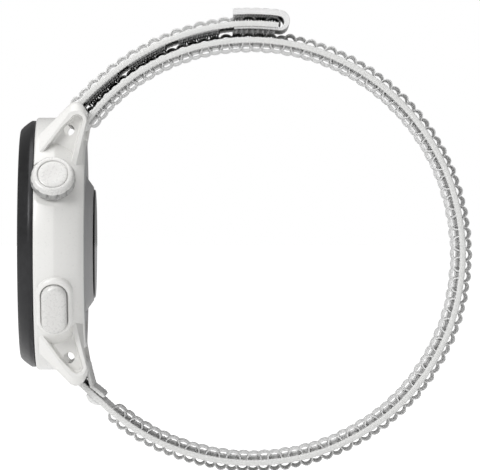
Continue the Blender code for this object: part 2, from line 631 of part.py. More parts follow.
def make_hook_patch(index):
    below = BASE_HALF + 0.06 * MM + 0.16 * MM
    line = []
    for step in range(9):
        angle = PATCH_START - PATCH_PITCH * index - PATCH_SPAN * step / 8
        line.append(LOOP_CENTRE + (tail_reach(angle) - below) * Vector((math.cos(angle), math.sin(angle))))
    half = [0.16 * MM] * len(line)
    return ribbon("hook_patch_%d" % (index + 1), line, half, half, "hooks")


def make_end_tab():
    """A folded tab that grips the tail's end: hooks below, a bend, and a flap on top."""
    start = math.radians(94.2)
    bend = TAIL_END - math.radians(0.3)
    line = arc_points(LOOP_CENTRE, TAB_LOW_R, start, bend, 10)
    middle = (TAB_LOW_R + TAB_HIGH_R) / 2.0
    pivot = LOOP_CENTRE + middle * Vector((math.cos(bend), math.sin(bend)))
    line += arc_points(pivot, (TAB_HIGH_R - TAB_LOW_R) / 2.0, bend - math.pi, bend, 10)[1:]
    line += arc_points(LOOP_CENTRE, TAB_HIGH_R, bend, start, 10)[1:]
    half = [0.2 * MM] * 11 + [0.35 * MM] * 9 + [0.4 * MM] * 11
    return ribbon("strap_end_tab", line, half, half, "tab")


clear_scene()
finishes = {name: make_finish(name) for name in FINISHES}
face_axes = Matrix(((0, 0, -1), (-1, 0, 0), (0, 1, 0))).to_4x4()
face = make_empty("watch_face", face_axes)
crown = make_empty("crown_axis", radial_frame(CROWN_ANGLE, CROWN_Z), face)
button = make_empty("button_axis", radial_frame(BUTTON_ANGLE, BUTTON_Z), face)

make_mid_case()
make_bezel()
make_display()
make_inner_parts()
make_back_cover()
for number in range(4):
    make_back_screw(number)
    make_charge_pin(number)
make_sensor()
make_crown()
make_button()
make_spring_bar("upper", 1)
make_spring_bar("lower", -1)
make_strap_band()
make_strap_tail()
for number in range(PATCH_COUNT):
    make_hook_patch(number)
make_end_tab()
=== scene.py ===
import math
import bmesh
import bpy
from mathutils import Matrix, Vector
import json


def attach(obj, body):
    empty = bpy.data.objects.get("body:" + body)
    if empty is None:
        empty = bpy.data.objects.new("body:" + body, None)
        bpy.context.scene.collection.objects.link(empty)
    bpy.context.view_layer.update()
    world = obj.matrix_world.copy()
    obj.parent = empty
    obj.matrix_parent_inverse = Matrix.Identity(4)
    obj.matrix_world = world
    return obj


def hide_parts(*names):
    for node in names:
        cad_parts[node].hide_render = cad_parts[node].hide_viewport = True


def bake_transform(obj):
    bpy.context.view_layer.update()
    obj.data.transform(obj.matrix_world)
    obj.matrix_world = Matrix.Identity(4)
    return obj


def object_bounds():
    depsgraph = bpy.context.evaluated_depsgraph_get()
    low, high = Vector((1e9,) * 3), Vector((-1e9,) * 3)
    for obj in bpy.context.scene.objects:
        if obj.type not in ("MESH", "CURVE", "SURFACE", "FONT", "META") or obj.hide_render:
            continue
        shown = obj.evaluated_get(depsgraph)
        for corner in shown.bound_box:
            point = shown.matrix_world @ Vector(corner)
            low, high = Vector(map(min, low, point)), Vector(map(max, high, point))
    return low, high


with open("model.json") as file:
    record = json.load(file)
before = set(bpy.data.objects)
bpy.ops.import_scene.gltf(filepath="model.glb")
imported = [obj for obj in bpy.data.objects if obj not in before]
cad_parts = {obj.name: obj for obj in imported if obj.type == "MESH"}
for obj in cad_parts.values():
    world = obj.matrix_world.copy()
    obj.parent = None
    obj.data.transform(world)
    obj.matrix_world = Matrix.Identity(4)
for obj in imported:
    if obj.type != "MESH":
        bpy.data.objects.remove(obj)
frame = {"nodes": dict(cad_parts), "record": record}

scene = bpy.context.scene
nodes = frame["nodes"]
cadBox = [list(corner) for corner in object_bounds()]
mm = 0.001
up = Vector((0.0, 0.0, 1.0))


# small helpers for node trees and meshes

def addNode(tree, kind, inputs=None, **settings):
    node = tree.nodes.new(kind)
    for key, value in settings.items():
        setattr(node, key, value)
    for key, value in (inputs or {}).items():
        if isinstance(value, bpy.types.NodeSocket):
            tree.links.new(value, node.inputs[key])
        else:
            node.inputs[key].default_value = value
    return node


def maths(tree, operation, first, second=0.0, third=0.5):
    return addNode(tree, "ShaderNodeMath", {0: first, 1: second, 2: third}, operation=operation).outputs[0]


def addObject(name, data):
    thing = bpy.data.objects.new(name, data)
    scene.collection.objects.link(thing)
    return thing


def pieceFrom(name, bm, matrix=None, sharp=34.0):
    bmesh.ops.remove_doubles(bm, verts=bm.verts, dist=1e-8)
    bmesh.ops.recalc_face_normals(bm, faces=bm.faces)
    mesh = bpy.data.meshes.new(name)
    bm.to_mesh(mesh)
    bm.free()
    if matrix is not None:
        mesh.transform(matrix)
    mesh.shade_smooth()
    mesh.set_sharp_from_angle(angle=math.radians(sharp))
    return addObject(name, mesh)


def turned(name, profile, segments=192, matrix=None, sharp=34.0):
    # profile is a closed outline of (radius, height) in mm, spun about local Z
    bm = bmesh.new()
    rings = []
    for radius, height in profile:
        count = 1 if radius == 0 else segments
        rings.append([bm.verts.new((radius * mm * math.cos(2 * math.pi * step / segments),
                                    radius * mm * math.sin(2 * math.pi * step / segments), height * mm))
                      for step in range(count)])
    for ring, following in zip(rings, rings[1:] + rings[:1]):
        if len(ring) == 1 and len(following) == 1:
            continue
        for step in range(segments):
            other = (step + 1) % segments
            corners = [ring[step % len(ring)], ring[other % len(ring)],
                       following[other % len(following)], following[step % len(following)]]
            bm.faces.new([corner for index, corner in enumerate(corners) if corner not in corners[:index]])
    return pieceFrom(name, bm, matrix, sharp)


def skin(bm, rings):
    # walls between rings of equal counts, closed at both ends
    for low, high in zip(rings, rings[1:]):
        for step in range(len(low)):
            other = (step + 1) % len(low)
            bm.faces.new((low[step], low[other], high[other], high[step]))
    bm.faces.new(rings[0])
    bm.faces.new(rings[-1])


def asDrawn(u, v, w):
    return (u, v, w)


def lofted(name, sections, axes=asDrawn, matrix=None, sharp=34.0):
    # sections are (outline, height) in mm, of equal point counts
    bm = bmesh.new()
    rings = [[bm.verts.new(Vector(axes(u, v, height)) * mm) for u, v in outline]
             for outline, height in sections]
    skin(bm, rings)
    return pieceFrom(name, bm, matrix, sharp)


def rod(radius, low, high, segments=48, matrix=None):
    return turned("rod", [(0, low), (radius, low), (radius, high), (0, high)], segments, matrix)


def combine(target, tool, operation="DIFFERENCE"):
    modifier = target.modifiers.new("combine", "BOOLEAN")
    modifier.object = tool
    modifier.operation = operation
    modifier.solver = "EXACT"
    graph = bpy.context.evaluated_depsgraph_get()
    result = bpy.data.meshes.new_from_object(target.evaluated_get(graph))
    target.modifiers.clear()
    target.data = result
    bpy.data.objects.remove(tool, do_unlink=True)
    return target


def resharpen(piece, angle=34.0):
    piece.data.shade_smooth()
    piece.data.set_sharp_from_angle(angle=math.radians(angle))
    return piece


def place(piece, body, slotName, finish, *replaced):
    piece.data.materials.clear()
    piece.data.materials.append(finish)
    if body:
        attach(piece, body)
    if replaced:
        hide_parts(*replaced)
    return piece


# finishes: one look per slot, each with its own grain, colour shift and relief;
# no metal and a plain grain where a look doesn't say

looks = {
    "bezel": {"colour": (0.028, 0.028, 0.029), "shade": (0.046, 0.046, 0.048), "grain": 900,
              "rough": (0.3, 0.4), "metal": 0.75, "pattern": "turned", "scale": 3200, "depth": 4e-06},
    "case": {"colour": (0.8, 0.795, 0.775), "shade": (0.835, 0.83, 0.81), "grain": 2600,
             "rough": (0.26, 0.36), "scale": 9000, "depth": 3e-07, "coat": 0.35},
    "glass": {"colour": (0.9, 0.9, 0.92), "shade": (0.86, 0.87, 0.9), "grain": 400, "rough": (0.01, 0.03),
              "scale": 5000, "depth": 2e-07, "clear": 1.0},
    "screen": {"colour": (0.006, 0.007, 0.008), "shade": (0.012, 0.014, 0.016), "grain": 1500,
               "rough": (0.18, 0.3), "pattern": "mesh", "scale": 5200, "depth": 2e-06},
    "mark": {"colour": (0.74, 0.74, 0.72), "shade": (0.62, 0.62, 0.6), "grain": 2200, "rough": (0.35, 0.5),
             "scale": 9000, "depth": 2e-06},
    "lens": {"colour": (0.012, 0.03, 0.02), "shade": (0.02, 0.05, 0.034), "grain": 900, "rough": (0.05, 0.12),
             "pattern": "mesh", "scale": 6000, "depth": 1.5e-06, "coat": 0.6},
    "rubber": {"colour": (0.022, 0.022, 0.023), "shade": (0.04, 0.04, 0.041), "grain": 2500,
               "rough": (0.6, 0.85), "scale": 9000, "depth": 1e-05},
    "copper": {"colour": (0.62, 0.33, 0.17), "shade": (0.5, 0.25, 0.13), "grain": 1400, "rough": (0.22, 0.4),
               "metal": 1.0, "pattern": "brushed", "scale": 3000, "depth": 4e-06},
    "chassis": {"colour": (0.06, 0.06, 0.066), "shade": (0.1, 0.1, 0.107), "grain": 3000,
                "rough": (0.45, 0.62), "scale": 7000, "depth": 1.2e-05},
    "board": {"colour": (0.01, 0.11, 0.05), "shade": (0.02, 0.2, 0.09), "grain": 700, "rough": (0.3, 0.5),
              "pattern": "tracks", "scale": 900, "depth": 2e-05},
    "steel": {"colour": (0.6, 0.6, 0.61), "shade": (0.5, 0.5, 0.52), "grain": 2400, "rough": (0.2, 0.36),
              "metal": 1.0, "pattern": "brushed", "scale": 5000, "depth": 4e-06},
    "cell": {"colour": (0.32, 0.33, 0.36), "shade": (0.24, 0.25, 0.28), "grain": 500, "rough": (0.3, 0.5),
             "metal": 0.7, "scale": 1500, "depth": 4e-05},
    "cover": {"colour": (0.36, 0.36, 0.365), "shade": (0.41, 0.41, 0.415), "grain": 2600,
              "rough": (0.38, 0.52), "metal": 0.1, "pattern": "turned", "scale": 2600, "depth": 3e-06},
    "window": {"specular": 0.15, "colour": (0.004, 0.004, 0.005), "shade": (0.009, 0.008, 0.009),
               "grain": 600, "rough": (0.06, 0.12), "scale": 6000, "depth": 4e-07},
    "gold": {"colour": (0.83, 0.6, 0.25), "shade": (0.7, 0.48, 0.18), "grain": 3000, "rough": (0.18, 0.34),
             "metal": 1.0, "pattern": "brushed", "scale": 6000, "depth": 3e-06},
    "switch": {"colour": (0.12, 0.12, 0.13), "shade": (0.18, 0.18, 0.19), "grain": 2000, "rough": (0.4, 0.6),
               "scale": 8000, "depth": 1e-05},
    "crown": {"colour": (0.7, 0.695, 0.68), "shade": (0.73, 0.725, 0.71), "grain": 2200,
              "rough": (0.24, 0.34), "metal": 0.1, "scale": 3000, "depth": 3e-07},
    "weave": {"colour": (0.97, 0.97, 0.965), "shade": (0.92, 0.92, 0.91), "grain": 4200, "rough": (0.7, 0.9),
              "pattern": "yarn", "scale": 1, "depth": 5e-05, "fuzz": 0.3, "through": 1.0},
    "hooks": {"colour": (0.34, 0.34, 0.34), "shade": (0.46, 0.46, 0.46), "grain": 5200, "rough": (0.45, 0.7),
              "pattern": "mesh", "scale": 2600, "depth": 3e-05},
    "tab": {"colour": (0.92, 0.92, 0.915), "shade": (0.8, 0.8, 0.8), "grain": 3000, "rough": (0.5, 0.7),
            "pattern": "yarn", "scale": 1, "depth": 4e-05, "fuzz": 0.25},
}


def relief(tree, look, where):
    # height field of the finish, 0 to 1
    kind = look.get("pattern", "grain")
    scale = look["scale"]
    if kind == "turned":
        rings = addNode(tree, "ShaderNodeTexWave", {"Vector": where, "Scale": scale, "Distortion": 0.6,
                                                    "Detail": 2.0}, wave_type="RINGS", rings_direction="X")
        return rings.outputs["Fac"]
    if kind == "brushed":
        stretch = addNode(tree, "ShaderNodeMapping", {"Vector": where, "Scale": (1.0, 0.08, 1.0)})
        return addNode(tree, "ShaderNodeTexNoise", {"Vector": stretch.outputs[0], "Scale": scale,
                                                    "Detail": 5.0}).outputs["Fac"]
    if kind == "tracks":
        cells = addNode(tree, "ShaderNodeTexVoronoi", {"Vector": where, "Scale": scale},
                        distance="CHEBYCHEV", feature="DISTANCE_TO_EDGE")
        return maths(tree, "GREATER_THAN", cells.outputs["Distance"], 0.08)
    if kind == "mesh":
        one = addNode(tree, "ShaderNodeTexWave", {"Vector": where, "Scale": scale}, bands_direction="Y")
        two = addNode(tree, "ShaderNodeTexWave", {"Vector": where, "Scale": scale}, bands_direction="Z")
        return maths(tree, "MULTIPLY", one.outputs["Fac"], two.outputs["Fac"])
    if kind == "yarn":
        # threads run round the loop, so they are lines across the strap's width, with a soft fuzz
        lines = addNode(tree, "ShaderNodeTexWave", {"Vector": where, "Scale": 900.0, "Distortion": 0.7,
                                                    "Detail": 2.0, "Detail Scale": 2.0}, bands_direction="Y")
        fuzz = addNode(tree, "ShaderNodeTexNoise", {"Vector": where, "Scale": 9000.0, "Detail": 3.0})
        return maths(tree, "ADD", maths(tree, "MULTIPLY", lines.outputs["Fac"], 0.7),
                     maths(tree, "MULTIPLY", fuzz.outputs["Fac"], 0.5))
    return addNode(tree, "ShaderNodeTexNoise", {"Vector": where, "Scale": scale,
                                                "Detail": 3.0}).outputs["Fac"]


extras = {      # what a look may add, with the sockets that go with it
    "specular": ("Specular IOR Level", {}),
    "coat": ("Coat Weight", {"Coat Roughness": 0.12}),
    "fuzz": ("Sheen Weight", {"Sheen Roughness": 0.5}),
    "through": ("Subsurface Weight", {"Subsurface Radius": (1.0, 1.0, 1.0), "Subsurface Scale": 0.0007}),
    "clear": ("Transmission Weight", {"IOR": 1.52}),
}
threadShade = 0.35      # how much darker the gaps between threads are


def blended(tree, factor, first, second, kind="MIX"):
    # sockets 0, 6 and 7 are the factor and the two colours
    return addNode(tree, "ShaderNodeMix", {0: factor, 6: first, 7: second}, data_type="RGBA",
                   blend_type=kind).outputs[2]


def newFinish(name, look):
    material = bpy.data.materials.new(name)
    material.use_nodes = True
    tree = material.node_tree
    tree.nodes.clear()
    where = addNode(tree, "ShaderNodeTexCoord").outputs["Object"]
    grain = addNode(tree, "ShaderNodeTexNoise", {"Vector": where, "Scale": look["grain"], "Detail": 4.0,
                                                 "Roughness": 0.6}).outputs["Fac"]
    height = relief(tree, look, where)
    result = blended(tree, grain, (*look["colour"], 1.0), (*look["shade"], 1.0))
    if "inner" in look:      # the wrist side is painted lighter: painted light that lifts the shade inside the loop
        side = addNode(tree, "ShaderNodeAttribute", attribute_name="inward")
        result = blended(tree, side.outputs["Fac"], result, (*look["inner"], 1.0))
    if look.get("pattern") == "yarn":
        result = blended(tree, threadShade, result, height, "MULTIPLY")
    rough = addNode(tree, "ShaderNodeMapRange", {"Value": grain, "From Min": 0.3, "From Max": 0.7,
                                                 "To Min": look["rough"][0], "To Max": look["rough"][1]})
    bump = addNode(tree, "ShaderNodeBump", {"Height": height, "Strength": 1.0, "Distance": look["depth"]})
    shader = addNode(tree, "ShaderNodeBsdfPrincipled", {
        "Base Color": result, "Roughness": rough.outputs[0], "Metallic": look.get("metal", 0.0),
        "Normal": bump.outputs[0]})
    for extra, (socket, others) in extras.items():
        if extra in look:
            shader.inputs[socket].default_value = look[extra]
            for other, value in others.items():
                shader.inputs[other].default_value = value
    addNode(tree, "ShaderNodeOutputMaterial", {"Surface": shader.outputs[0]})
    return material


finishes = {name: newFinish(name + "Finish", look) for name, look in looks.items()}
# a darker copy of the weave for the loops on the inside of the ring: painted shade for the dimmer light inside
# the loop
finishes["weaveShadedInner"] = newFinish("weaveInnerFinish", dict(looks["weave"], colour=(0.93, 0.93, 0.925),
                                                            shade=(0.86, 0.86, 0.855)))
# a darker copy of the crown's look for its knurled side: painted shade
finishes["crownSide"] = newFinish("crownSideFinish", dict(
    looks["crown"], colour=(0.36, 0.36, 0.355), shade=(0.44, 0.44, 0.435), metal=0.4, rough=(0.32, 0.44)))
# the strap's base, a greyer copy of the weave, whose wrist side is painted lighter to lift the shade inside
# the loop
finishes["base"] = newFinish("baseFinish", dict(looks["weave"], colour=(0.8, 0.8, 0.79),
                                                shade=(0.72, 0.72, 0.71),
                                                inner=(0.93, 0.93, 0.925), through=0.35))
for slotRow in frame["record"]["subparts"]:
    target = nodes[slotRow["node"]]
    target.data.materials.clear()
    target.data.materials.append(finishes[slotRow["material_slot"]])
print("finishes made:", len(finishes))


# the watch head; its face frame is x to 3 o'clock, y to 12 o'clock, z out of the display

head = {
    "segments": 256,
    "lugInner": 11.1, "lugOuter": 14.6, "lugFloor": 12.9, "barY": 20.6, "barZ": 2.7,
    "crownAngle": 29.5, "crownHeight": 6.55, "buttonAngle": -30.0, "buttonHeight": 6.4,
    "buttonLength": 8.8, "buttonWidth": 4.15,
}
faceAxes = Matrix(((0, 0, -1), (-1, 0, 0), (0, 1, 0))).to_4x4()


def radialFrame(degrees, height):
    outward = Vector((math.cos(math.radians(degrees)), math.sin(math.radians(degrees)), 0.0))
    around = up.cross(outward)
    matrix = Matrix((around, up, outward)).transposed().to_4x4()
    return Matrix.Translation((0.0, 0.0, height * mm)) @ matrix


def hairpin(front, tipCentre, tipSize, back, steps=28):
    tip = [(tipCentre[0] + tipSize[0] * math.cos(math.radians(48 + 132 * step / steps)),
            tipCentre[1] + tipSize[1] * math.sin(math.radians(48 + 132 * step / steps)))
           for step in range(steps + 1)]
    return front + tip + back


def between(first, second, share):
    return [(a[0] + (b[0] - a[0]) * share, a[1] + (b[1] - a[1]) * share) for a, b in zip(first, second)]


def grown(outline, distance):
    # moves each point along its outline's outward normal
    area = sum(a[0] * b[1] - b[0] * a[1] for a, b in zip(outline, outline[1:] + outline[:1]))
    turn = 1.0 if area > 0 else -1.0
    result = []
    for index, point in enumerate(outline):
        before = outline[index - 1]
        after = outline[(index + 1) % len(outline)]
        along = Vector((after[0] - before[0], after[1] - before[1])).normalized()
        result.append((point[0] + along.y * distance * turn, point[1] - along.x * distance * turn))
    return result


def pill(length, width, steps=24):
    radius = width / 2.0
    straight = length / 2.0 - radius
    return [(side * (straight + radius * math.cos(-math.pi / 2 + math.pi * step / steps)),
             side * radius * math.sin(-math.pi / 2 + math.pi * step / steps))
            for side in (1, -1) for step in range(steps + 1)]


def circleAt(across, rise, radius, steps):
    return [(across + radius * math.cos(2 * math.pi * step / steps),
             rise + radius * math.sin(2 * math.pi * step / steps)) for step in range(steps)]


lugShape = {      # outlines as (height, reach): front points, tip's centre and size, back points
    "foot": ([(9.0, 12.0), (9.0, 17.9), (6.2, 20.7)], (3.0, 20.6), (1.95, 2.7), [(1.7, 16.9), (1.9, 12.0)]),
    "top": ([(8.9, 12.0), (9.0, 15.0), (6.2, 18.7)], (2.95, 20.1), (1.79, 1.79), [(2.0, 16.8), (3.1, 12.0)]),
    "hollow": ([(8.2, 12.2), (8.2, 15.2), (5.4, 18.9)], (2.75, 20.2), (1.02, 1.02),
               [(2.6, 17.2), (4.1, 12.2)]),
    "slopeDepth": 1.5, "slope": ((0.06, 0.22), (0.5, 0.86), (0.95, 1.36), (1.0, 1.42)), "rimRound": 0.07,
    "eye": (4.1, 18.7, 0.9), "eyeEnds": (9.0, 17.0),
}


def makeLug(side, end):
    foot, top, hollow = (hairpin(*lugShape[part]) for part in ("foot", "top", "hollow"))
    outer = head["lugOuter"]
    floor = head["lugFloor"]
    slopeStart = outer - lugShape["slopeDepth"]

    def onSide(u, v, w):
        return (side * w, end * v, u)

    sections = [(foot, head["lugInner"]), (foot, slopeStart)]
    sections += [(between(foot, top, share), slopeStart + rise) for share, rise in lugShape["slope"]]
    sections.append((grown(top, -lugShape["rimRound"]), outer))
    lug = lofted("lug", sections, onSide)
    far = lugShape["eyeEnds"][1]
    walls = [(grown(hollow, -0.45), floor), (grown(hollow, -0.25), floor + 0.12), (hollow, outer - 0.08),
             (grown(hollow, 0.08), outer + 0.02), (grown(hollow, 0.08), far)]
    combine(lug, lofted("hollow", walls, onSide))
    eye = circleAt(*lugShape["eye"], 32)
    combine(lug, lofted("eye", [(eye, height) for height in lugShape["eyeEnds"]], onSide))
    return lug


def alongX(u, v, w):
    return (w, v, u)


caseShape = {
    "profile": [
        (16.5, 1.6), (18.15, 1.6), (18.35, 1.66), (18.9, 2.15), (19.4, 2.8), (20.45, 4.7), (20.915, 6.3),
        (20.94, 6.38), (20.952, 6.46), (20.955, 6.6), (20.96, 9.42), (20.9, 9.58), (20.7, 9.76), (20.6, 9.8),
        (20.1, 9.8), (20.1, 9.3), (18.8, 9.3), (18.8, 9.8),
        (18.45, 9.8), (18.45, 9.3), (17.0, 9.3), (17.0, 9.5),
        (16.0, 9.5), (16.0, 2.8), (16.5, 2.8),
    ],
    "scoop": 3.6, "socket": 0.6, "socketEnds": (9.5, 12.35),      # room for the strap, and the bars' sockets
    "crownBores": ((4.5, 20.35, 64), (2.0, 14.0, 32)),      # radius, bottom and segments
    "buttonBores": ((1.45, 18.5, 24), (0.9, 14.0, 24)),
    "boreTop": 26.0, "surround": 2.0, "gap": 0.3, "pocketFloor": 20.1,
    "surroundSteps": ((0.0, 17.5), (0.0, 20.55), (-0.12, 20.8), (-0.3, 21.0), (-0.55, 21.14), (-0.8, 21.18)),
}


def makeCase():
    case = turned("caseShell", caseShape["profile"], head["segments"])
    barY, barZ = head["barY"], head["barZ"]
    top = caseShape["boreTop"]
    for end in (1, -1):
        scoop = circleAt(barZ, end * barY, caseShape["scoop"], 64)
        combine(case, lofted("scoop", [(scoop, -head["lugInner"]), (scoop, head["lugInner"])], alongX))
    for side in (1, -1):
        for end in (1, -1):
            combine(case, makeLug(side, end), "UNION")
    crownFrame = radialFrame(head["crownAngle"], head["crownHeight"])
    for radius, bottom, segments in caseShape["crownBores"]:
        combine(case, rod(radius, bottom, top, segments, crownFrame))
    buttonFrame = radialFrame(head["buttonAngle"], head["buttonHeight"])
    length, width = head["buttonLength"], head["buttonWidth"]
    rim = pill(length + caseShape["surround"], width + caseShape["surround"])
    sections = [(grown(rim, offset), height) for offset, height in caseShape["surroundSteps"]]
    combine(case, lofted("surround", sections, matrix=buttonFrame), "UNION")
    pocket = pill(length + caseShape["gap"], width + caseShape["gap"])
    mouth = grown(pocket, 0.12)
    walls = [(pocket, caseShape["pocketFloor"]), (pocket, 21.05), (mouth, 21.2), (mouth, top)]
    combine(case, lofted("pocket", walls, matrix=buttonFrame))
    for radius, bottom, segments in caseShape["buttonBores"]:
        combine(case, rod(radius, bottom, top, segments, buttonFrame))
    for side in (1, -1):
        for end in (1, -1):
            socket = circleAt(barZ, end * barY, caseShape["socket"], 20)
            ends = sorted(side * reach for reach in caseShape["socketEnds"])
            combine(case, lofted("socket", [(socket, ends[0]), (socket, ends[1])], alongX))
    case.data.transform(faceAxes)
    return resharpen(case, 24.0)


place(makeCase(), "watch", "case", finishes["case"], "mid_case")
print("case made")

bezelProfile = [
    (20.40, 9.92), (20.45, 9.98), (20.45, 10.5), (20.42, 10.6), (20.34, 10.74), (19.98, 11.26),
    (19.46, 11.92),
    (19.08, 12.28), (18.94, 12.38), (18.78, 12.43), (18.6, 12.45), (17.85, 12.45), (17.65, 12.43),
    (17.38, 12.30), (17.35, 12.25), (17.35, 11.05), (16.3, 11.05), (16.3, 9.92),
]
place(turned("bezelRing", bezelProfile, head["segments"], faceAxes, 20.0), "watch", "bezel",
      finishes["bezel"], "bezel")
glassProfile = [(0, 11.2), (17.2, 11.2), (17.2, 12.08), (17.17, 12.17), (17.1, 12.24), (17.0, 12.28),
                (16.8, 12.3), (0, 12.3)]
place(turned("displayGlass", glassProfile, 192, faceAxes), "watch", "glass", finishes["glass"],
      "display_glass")

coverProfile = [
    (16.4, 2.7), (16.4, 2.55), (15.9, 2.55), (15.9, 1.95), (16.4, 1.95), (16.4, 1.75), (16.36, 1.66),
    (16.25, 1.6),
    (11.45, 1.6), (11.42, 1.72), (11.22, 1.72), (11.1, 1.52), (9.55, 0.42), (9.46, 0.36), (9.36, 0.33),
    (9.25, 0.32),
    (9.1, 0.32),
    (9.1, 0.9), (8.0, 0.9), (8.0, 2.3), (10.2, 2.3), (10.2, 2.7),
]
cover = turned("backCover", coverProfile, 192)
for turn in (45, 135, 225, 315):
    spot = Matrix.Translation((14.3 * mm * math.cos(math.radians(turn)),
                               14.3 * mm * math.sin(math.radians(turn)), 0))
    combine(cover, turned("seat", [(0, 0), (1.42, 0), (1.42, 1.62), (1.3, 1.74), (1.3, 2.25), (0.7, 2.25),
                                   (0.7, 4),
                                   (0, 4)], 40, spot))
for index in range(4):
    spot = Matrix.Translation(((index - 1.5) * 2.2 * mm, -13.6 * mm, 0.0))
    combine(cover, turned("hole", [(0, 0), (0.85, 0), (0.85, 1.61), (0.75, 1.7), (0.75, 4), (0, 4)], 32,
                          spot))
cover.data.transform(faceAxes)
place(resharpen(cover, 26.0), "watch", "cover", finishes["cover"], "back_cover")

windowProfile = [(0, -0.12), (3.0, -0.115), (6.0, -0.08), (8.0, -0.03), (8.7, 0.01), (8.88, 0.05),
                 (8.97, 0.11),
                 (9.0, 0.2), (9.0, 0.8), (0, 0.8)]
place(turned("sensorWindow", windowProfile, 160, faceAxes), "watch", "window", finishes["window"],
      "sensor_window")
lensLook = {"middle": 1.55, "side": 1.25, "reach": 4.4, "edge": 0.02}
for index, (across, size) in enumerate(((0.0, lensLook["middle"]), (lensLook["reach"], lensLook["side"]),
                                        (-lensLook["reach"], lensLook["side"]))):
    top = -0.13 + 0.0016 * across * across
    profile = [(0, top - 0.006), (size - 0.1, top), (size, top + lensLook["edge"]), (size, 0.3), (0, 0.3)]
    spot = faceAxes @ Matrix.Translation((0.0, across * mm, 0.0))
    place(turned("sensorLens%d" % (index + 1), profile, 64, spot), "watch", "window", finishes["lens"])
print("bezel, glass and back made")


# crown and button

crownLook = {"notches": 13, "depth": 0.46, "radius": 3.68, "face": 23.2, "steps": 12, "sideTop": 22.42}


def knurl(radius, depth):
    # flat lands with narrow V-shaped notches between them
    outline = []
    perNotch = crownLook["steps"]
    for notch in range(crownLook["notches"]):
        for step in range(perNotch):
            share = step / perNotch
            near = min(share, 1.0 - share) * 2.0
            reach = radius - depth * max(0.0, 1.0 - near / 0.42)
            angle = 2 * math.pi * (notch + share) / crownLook["notches"]
            outline.append((reach * math.cos(angle), reach * math.sin(angle)))
    return outline


def makeCrown():
    radius = crownLook["radius"]
    depth = crownLook["depth"]
    face = crownLook["face"]
    steps = [(3.5, 0.0, 20.86), (3.66, 0.0, 20.9), (radius, 0.04, 20.98), (radius, depth * 0.45, 21.16),
             (radius, depth, 21.4), (radius, depth, 21.85), (radius - 0.04, depth * 0.5, 22.1),
             (3.58, 0.08, 22.34), (3.46, 0.0, 22.5), (3.4, 0.0, 22.72), (3.34, 0.0, face - 0.22),
             (3.22, 0.0, face - 0.08), (3.06, 0.0, face - 0.01), (2.85, 0.0, face), (2.64, 0.0, face)]
    knob = lofted("crownKnob", [(knurl(size, cut), height) for size, cut, height in steps])
    combine(knob, turned("pocket", [(0, 22.55), (2.45, 22.55), (2.45, 22.95), (2.5, 22.97), (2.53, 23.0),
                                    (2.56, face - 0.08), (2.68, face + 0.02), (2.68, 26), (0, 26)], 96))
    combine(knob, rod(1.0, 18.0, 21.4, 32))
    return knob


crownMatrix = faceAxes @ radialFrame(head["crownAngle"], head["crownHeight"])
buttonMatrix = faceAxes @ radialFrame(head["buttonAngle"], head["buttonHeight"])
knob = makeCrown()
knob.data.transform(crownMatrix)
place(resharpen(knob, 26.0), "crown", "crown", finishes["crown"], "crown_knob")
knob.data.materials.append(finishes["crownSide"])
crownOutward = crownMatrix.to_3x3() @ up
for face in knob.data.polygons:      # the knurled side is a darker ring, painted shade for the side that faces away from the light
    face.material_index = 1 if face.center.dot(crownOutward) < crownLook["sideTop"] * mm else 0
capProfile = [(0, 22.65), (2.43, 22.65), (2.43, 22.98), (2.41, 23.05), (2.34, 23.1), (2.2, 23.12),
              (1.4, 23.09),
              (0, 23.06)]
place(turned("crownCap", capProfile, 96, crownMatrix), "crown", "crown", finishes["crown"], "crown_cap")

buttonSteps = [(0.0, 20.6), (0.0, 21.72), (-0.05, 21.9), (-0.18, 22.1), (-0.42, 22.26), (-0.75, 22.36),
               (-1.1, 22.4)]
capOutline = pill(head["buttonLength"], head["buttonWidth"], 32)
buttonPiece = lofted("buttonCap", [(grown(capOutline, inset), height) for inset, height in buttonSteps])
combine(buttonPiece, rod(0.85, 18.0, 21.5, 32))
buttonPiece.data.transform(buttonMatrix)
place(resharpen(buttonPiece, 26.0), "button", "crown", finishes["crown"], "button_cap")
print("crown and button made")


# rows of small units along a path, in Geometry Nodes

unitSizes = ("Pitch", "Unit Length", "Unit Height", "Unit Width", "Unit Thickness", "Column Pitch", "Lift",
             "Unevenness", "Roundness")


def ribbonOn(tree, given, curve):
    # a ribbon on a curve drawn in X-Y, stood up so that its height is along Z
    size = addNode(tree, "ShaderNodeCombineXYZ", {"X": given["Unit Length"], "Y": given["Unit Height"],
                                                  "Z": 1.0})
    sized = addNode(tree, "GeometryNodeTransform", {"Geometry": curve, "Scale": size.outputs[0]})
    flat = addNode(tree, "GeometryNodeSetCurveNormal", {"Curve": sized.outputs[0]}, mode="Z_UP")
    section = addNode(tree, "GeometryNodeCurvePrimitiveQuadrilateral",
                      {"Width": given["Unit Thickness"], "Height": given["Unit Width"]})
    ribbon = addNode(tree, "GeometryNodeCurveToMesh", {"Curve": flat.outputs[0],
                                                       "Profile Curve": section.outputs[0],
                                                       "Fill Caps": True})
    return addNode(tree, "GeometryNodeTransform", {"Geometry": ribbon.outputs[0],
                                                   "Rotation": (math.pi / 2, 0.0, 0.0)}).outputs[0]


def blockSize(tree, given):
    return addNode(tree, "ShaderNodeCombineXYZ", {"X": given["Unit Length"], "Y": given["Unit Width"],
                                                  "Z": given["Unit Height"]}).outputs[0]


